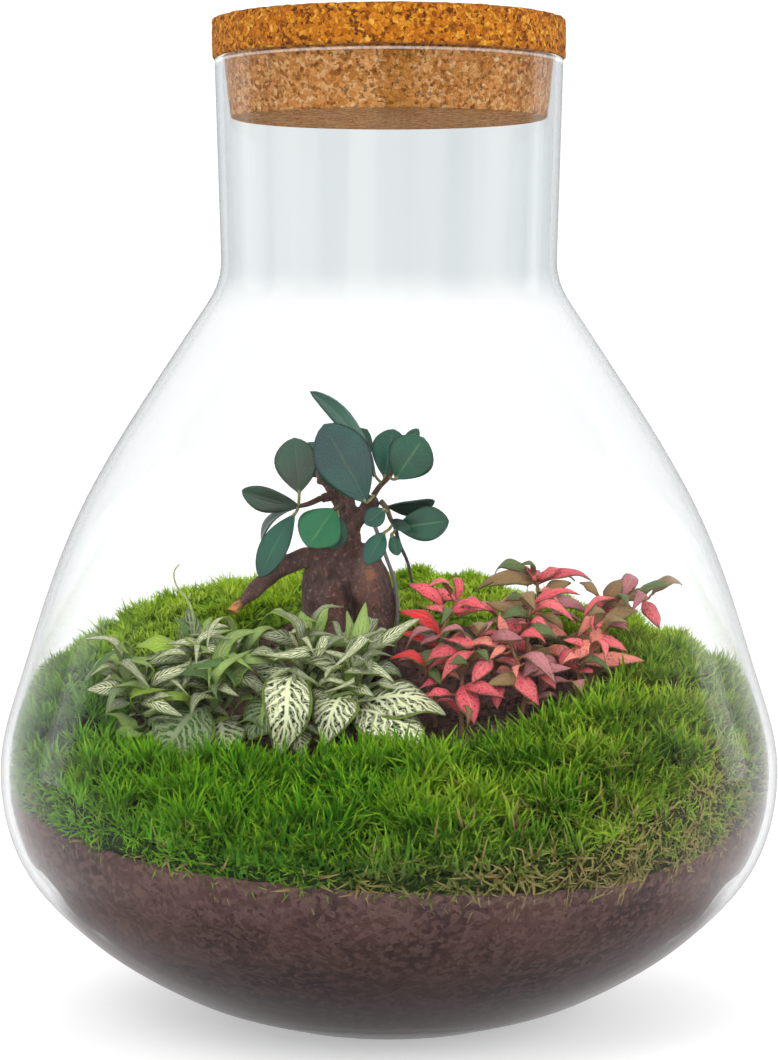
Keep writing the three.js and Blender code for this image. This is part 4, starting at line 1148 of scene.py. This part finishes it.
# Pink fittonia
pinkStyle = dict(whiteStyle, fullness=1.0, fold=-0.45, wave=0.5, twist=25, arch=2.2, stemColour="8a6a4c",
                 stalkColour="b0705c")
pinkColours = {
    "coral": ("ee6a70", 1.0), "rose": ("e65864", 1.0), "salmon": ("ee8a78", 0.8),
    "mauve": ("bc767a", 0.6), "brown": ("94784e", 0.3), "red": ("dc2c32", 0.7),
    "green": ("5c7040", 0.3),
}
pinkFill = {
    "seed": 31, "count": 15, "length": (10, 20), "slim": (0.32, 0.44), "rise": (-0.4, 0.8), "bow": 0.24,
    "kinds": ["coral", "rose", "salmon", "mauve", "brown", "coral", "green"],
}
pinkBack = {"from": 5, "kinds": ["brown", "mauve", "coral", "brown", "salmon", "green"]}
pinkStems = [
    {"points": [[31, -40], [31, -41, 150], [35, -37, 162], [39, -32, 168]], "leaves": [
        [31, -42, 150, 36, -52, 134, 10.5, 0.12, "rose"],
        [44, -40, 160, 35, -49, 151, 8, 0.15, "coral"],
        [36, -40, 164, 22, -48, 152, 7, 0.25, "coral"],
        [37, -35, 167, 25, -42, 169, 9.5, 0.12, "coral"],
        [30, -38, 164, 16, -44, 160, 8.5, 0.15, "rose"],
        [40, -32, 168, 45, -30, 176, 4, 0.3, "mauve"],
    ]},
    {"points": [[57, -38], [58, -39, 150], [54, -36, 161], [50, -31, 170]], "leaves": [
        [46, -40, 153, 46, -48, 140, 7, 0.15, "rose"],
        [52, -40, 156, 63, -50, 142, 9.5, 0.12, "coral"],
        [68, -37, 159, 56, -45, 152, 7.5, 0.2, "mauve"],
        [63, -36, 158, 71, -43, 148, 7, 0.12, "coral"],
        [55, -32, 168, 67, -38, 167, 7, 0.25, "rose"],
        [49, -30, 170, 47, -30, 179, 5, 0.1, "salmon"],
    ]},
    {"points": [[82, -30], [82, -31, 155], [85, -27, 163], [91, -20, 174]], "leaves": [
        [86, -30, 157, 110, -34, 159, 8, 0.12, "salmon", 20],
        [90, -24, 167, 102, -30, 163, 7, 0.12, "coral"],
        [85, -24, 169, 79, -32, 158, 8.5, 0.12, "salmon"],
        [79, -29, 164, 73, -35, 156, 6, 0.15, "rose"],
        [89, -20, 172, 89, -29, 163, 7, 0.12, "salmon"],
        [92, -16, 178, 88, -22, 170, 6.5, 0.12, "coral"],
        [80, -33, 156, 87, -40, 155, 5.5, 0.1, "rose"],
    ]},
    {"points": [[20, -28], [20, -29, 156], [23, -25, 171], [27, -19, 179], [30, -9, 184]], "leaves": [
        [25, -28, 170, 13, -34, 166, 5, 0.15, "mauve"],
        [17, -33, 158, 22, -41, 150, 5, 0.1, "green"],
        [28, -19, 179, 37, -20, 184, 8, 0.1, "rose"],
        [27, -20, 178, 15, -23, 181, 5, 0.2, "coral"],
        [30, -8, 184, 21, -8, 188, 7, 0.1, "coral"],
        [16, -36, 155, 0, -43, 161, 7, 0.2, "red"],
        [20, -26, 169, 4, -26, 180, 8, 0.15, "red"],
        [19, -28, 165, 4, -31, 171, 6, 0.1, "red"],
        [19, -31, 164, 13, -39, 156, 7, 0.1, "green"],
        [30, -8, 183, 24, 6, 180, 8, 0.15, "coral"],
    ]},
    {"points": [[60, -17], [60, -18, 162], [60, -18, 175], [62, -11, 182]], "leaves": [
        [60, -20, 176, 81, -26, 174, 6.5, 0.3, "coral"],
        [63, -11, 182, 83, -13, 186, 6, 0.25, "rose"],
        [58, -17, 178, 42, -20, 183, 8, 0.1, "brown"],
        [57, -18, 174, 46, -24, 170, 9, 0.1, "coral"],
        [58, -14, 172, 47, -6, 170, 9, 0.15, "mauve"],
        [62, -12, 174, 74, -6, 172, 9, 0.15, "brown"],
    ]},
    {"points": [[67, 4], [67, 4, 170], [66, 6, 184], [65, 8, 192]], "leaves": [
        [64, 6, 190, 44, 2, 188, 8, 0.15, "brown"],
        [63, 8, 192, 60, 1, 197, 8, 0.1, "coral"],
        [66, 8, 192, 76, 4, 196, 7, 0.1, "coral"],
        [62, 8, 189, 38, 10, 185, 6, 0.25, "brown"],
        [68, 4, 184, 80, 2, 190, 9, 0.1, "brown"],
        [69, 5, 180, 88, 4, 176, 8, 0.15, "mauve"],
        [68, 8, 189, 90, 13, 190, 6, 0.15, "rose"],
        [66, 9, 190, 62, 24, 186, 9, 0.2, "rose"],
        [68, 9, 182, 80, 22, 178, 9, 0.2, "mauve"],
        [63, 8, 178, 48, 20, 176, 9, 0.2, "coral"],
    ]},
    {"points": [[91, -4], [92, -4, 168], [95, -4, 181], [104, -5, 183], [112, -7, 183]], "leaves": [
        [94, -4, 182, 102, -2, 192, 9, 0.1, "brown"],
        [112, -7, 183, 118, -12, 171, 7.5, 0.15, "coral"],
        [103, -4, 184, 114, -2, 188, 5, 0.1, "brown"],
        [94, -5, 176, 104, -11, 172, 6, 0.15, "coral"],
        [94, -2, 178, 96, 14, 180, 8, 0.2, "rose"],
        [92, -1, 172, 106, 8, 176, 8, 0.2, "coral"],
    ]},
]


def paintPink(wire):
    # pink blades, speckled darker, with an uneven green edge and a dull underside
    across, far = leafPlace(wire)
    mark = wire.value("mark")
    blotch = wire.noise(650, 2)
    rib = 1 - across.step(0.03, 0.12)
    side = (far * 8 - across * 1.8).teeth()
    veins = (1 - side.step(0.05, 0.2)) * 0.4
    dots = (1 - wire.cells(900).step(0.22, 0.42)) * blotch.step(0.36, 0.52) * 0.85
    speckled = (dots * mark).mix(wire.colour("tint"), "5c2c36")
    light = (rib.most(veins) * mark * 0.3).mix(speckled, "f8b4ac")
    rim = (across + (blotch - 0.5) * 0.5 + far.step(0.85, 1.0) * 0.4).step(0.74, 0.94)
    edge = (rim * 0.75).mix(light, "665c3c")
    below = (wire.value("under") * 0.7).mix(edge, "937a5a")
    return {"Base Color": below, "Normal": wire.bump(rib * 0.4 + veins, 0.0008, 0.5)}


pinkFinish = surface("pinkLeaf", {"Roughness": 0.48, "Specular IOR Level": 0.35}, paintPink)
draw.seed(pinkFill["seed"])
for number, stem in enumerate(pinkStems, 1):
    stem["fill"] = fillLeaves(stem, pinkFill, pinkBack["kinds"] if number >= pinkBack["from"] else None)
    growStem(stem, pinkStyle, pinkColours, f"pinkFittonia{number}", [pinkFinish, stemFinish],
             [f"pink_fittonia_stem_{number}"])
print("pink plant grown")


# Bark chip
def buildChip():
    bm = nodeShape("bark_chip")
    bmesh.ops.subdivide_edges(bm, edges=bm.edges, cuts=3, use_grid_fill=True)
    bm.normal_update()
    for vertex in bm.verts:
        place = vertex.co
        ridge = noise.noise(Vector((place.x * 0.25, place.y * 1.4, place.z * 1.4)))
        vertex.co = place + vertex.normal * (ridge * 0.6 - 0.2)
    return bm


def paintChip(wire):
    grain = wire.noise(300, 4, 0.6, wire.place().scaled(0.4, 1, 1))
    fleck = wire.noise(700, 2, 0.5)
    base = grain.step().mix("4d2616", "8a4a2c")
    return {"Base Color": (fleck.step(0.6, 0.7) * 0.6).mix(base, "c49a78"),
            "Normal": wire.bump(grain, 0.001, 0.7)}


chipFinish = surface("barkChip", {"Roughness": 0.85, "Specular IOR Level": 0.2}, paintChip)
finishPiece(buildChip(), "barkChip", [chipFinish], ["bark_chip"])
print("bark chip split")


# Floor, light and sky
studio = {
    "floor": 8, "sky": 1.12, "mirroredSky": 0.25,          # metres and strengths
    "lamps": {
        "keyLamp": {"place": (-0.9, -1.5, 1.6), "size": (1.2, 1.2), "power": 18, "mirrored": False},
        "fillLamp": {"place": (1.4, -1.0, 0.9), "size": (1.0, 1.0), "power": 12, "mirrored": False},
        "stripLeft": {"place": (-1.6, 0.6, 0.5), "size": (0.4, 1.4), "power": 2.2, "mirrored": True},
        "stripRight": {"place": (1.6, 0.8, 0.5), "size": (0.4, 1.4), "power": 2.2, "mirrored": True},
    },
}
floorLook = {
    "base": (0.72, 0.72, 0.72, 1), "glow": (1, 1, 1, 1), "glowStrength": 0.42,
    "mirrored": (0.25, 0.23, 0.23, 1),      # as the jar reflects it
    # the floor close under the jar, as the foot's glass shows it, is darkened: a painted shadow
    "under": (0.1, 0.085, 0.085, 1),        # as the foot's glass shows it
    "paintedShadowReach": (0.17, 0.24),             # metres
}


def mirroredRays(wire):
    return wire.ray("Reflection") * wire.ray("Glossy")


def paintFloor(wire):
    mirrored = mirroredRays(wire)
    close = 1 - wire.place().length().step(*floorLook["paintedShadowReach"])
    # near the jar, rays through the glass see a darker floor: painted shadow under the foot
    paintedShadowSeen = wire.ray("Transmission") * close
    shown = {"Base Color": floorLook["base"], "Emission Color": floorLook["glow"]}
    return {
        socket: paintedShadowSeen.mix(mirrored.mix(colour, floorLook["mirrored"]), floorLook["under"])
        for socket, colour in shown.items()
    }


bm = bmesh.new()
bmesh.ops.create_grid(bm, x_segments=1, y_segments=1, size=studio["floor"])
floorMesh = meshOf(bm, "floor")
matt = {"Roughness": 0.9, "Specular IOR Level": 0.0, "Emission Strength": floorLook["glowStrength"]}
floorMesh.materials.append(surface("paleFloor", matt, paintFloor))
floor = placed("floor", floorMesh)

lampAim = Vector((0, 0, 0.2))
for name, lamp in studio["lamps"].items():
    light = bpy.data.lights.new(name, "AREA")
    light.shape = "RECTANGLE"
    light.size, light.size_y = lamp["size"]
    light.energy = lamp["power"]
    stand = placed(name, light)
    stand.location = lamp["place"]
    aim = lampAim - stand.location
    stand.rotation_euler = aim.to_track_quat("-Z", "Y").to_euler()
    stand.visible_camera = False
    stand.visible_glossy = lamp["mirrored"]
    stand.visible_transmission = lamp["mirrored"]

sky = bpy.data.worlds.new("sky")
scene.world = sky
sky.use_nodes = True
background = sky.node_tree.nodes["Background"]
background.inputs["Color"].default_value = (1, 1, 1, 1)
strength = mirroredRays(Wire(sky.node_tree)) * (studio["mirroredSky"] - studio["sky"]) + studio["sky"]
sky.node_tree.links.new(strength.socket, background.inputs["Strength"])
scene.view_settings.view_transform = "Standard"
scene.view_settings.look = "None"

print("scene ready")
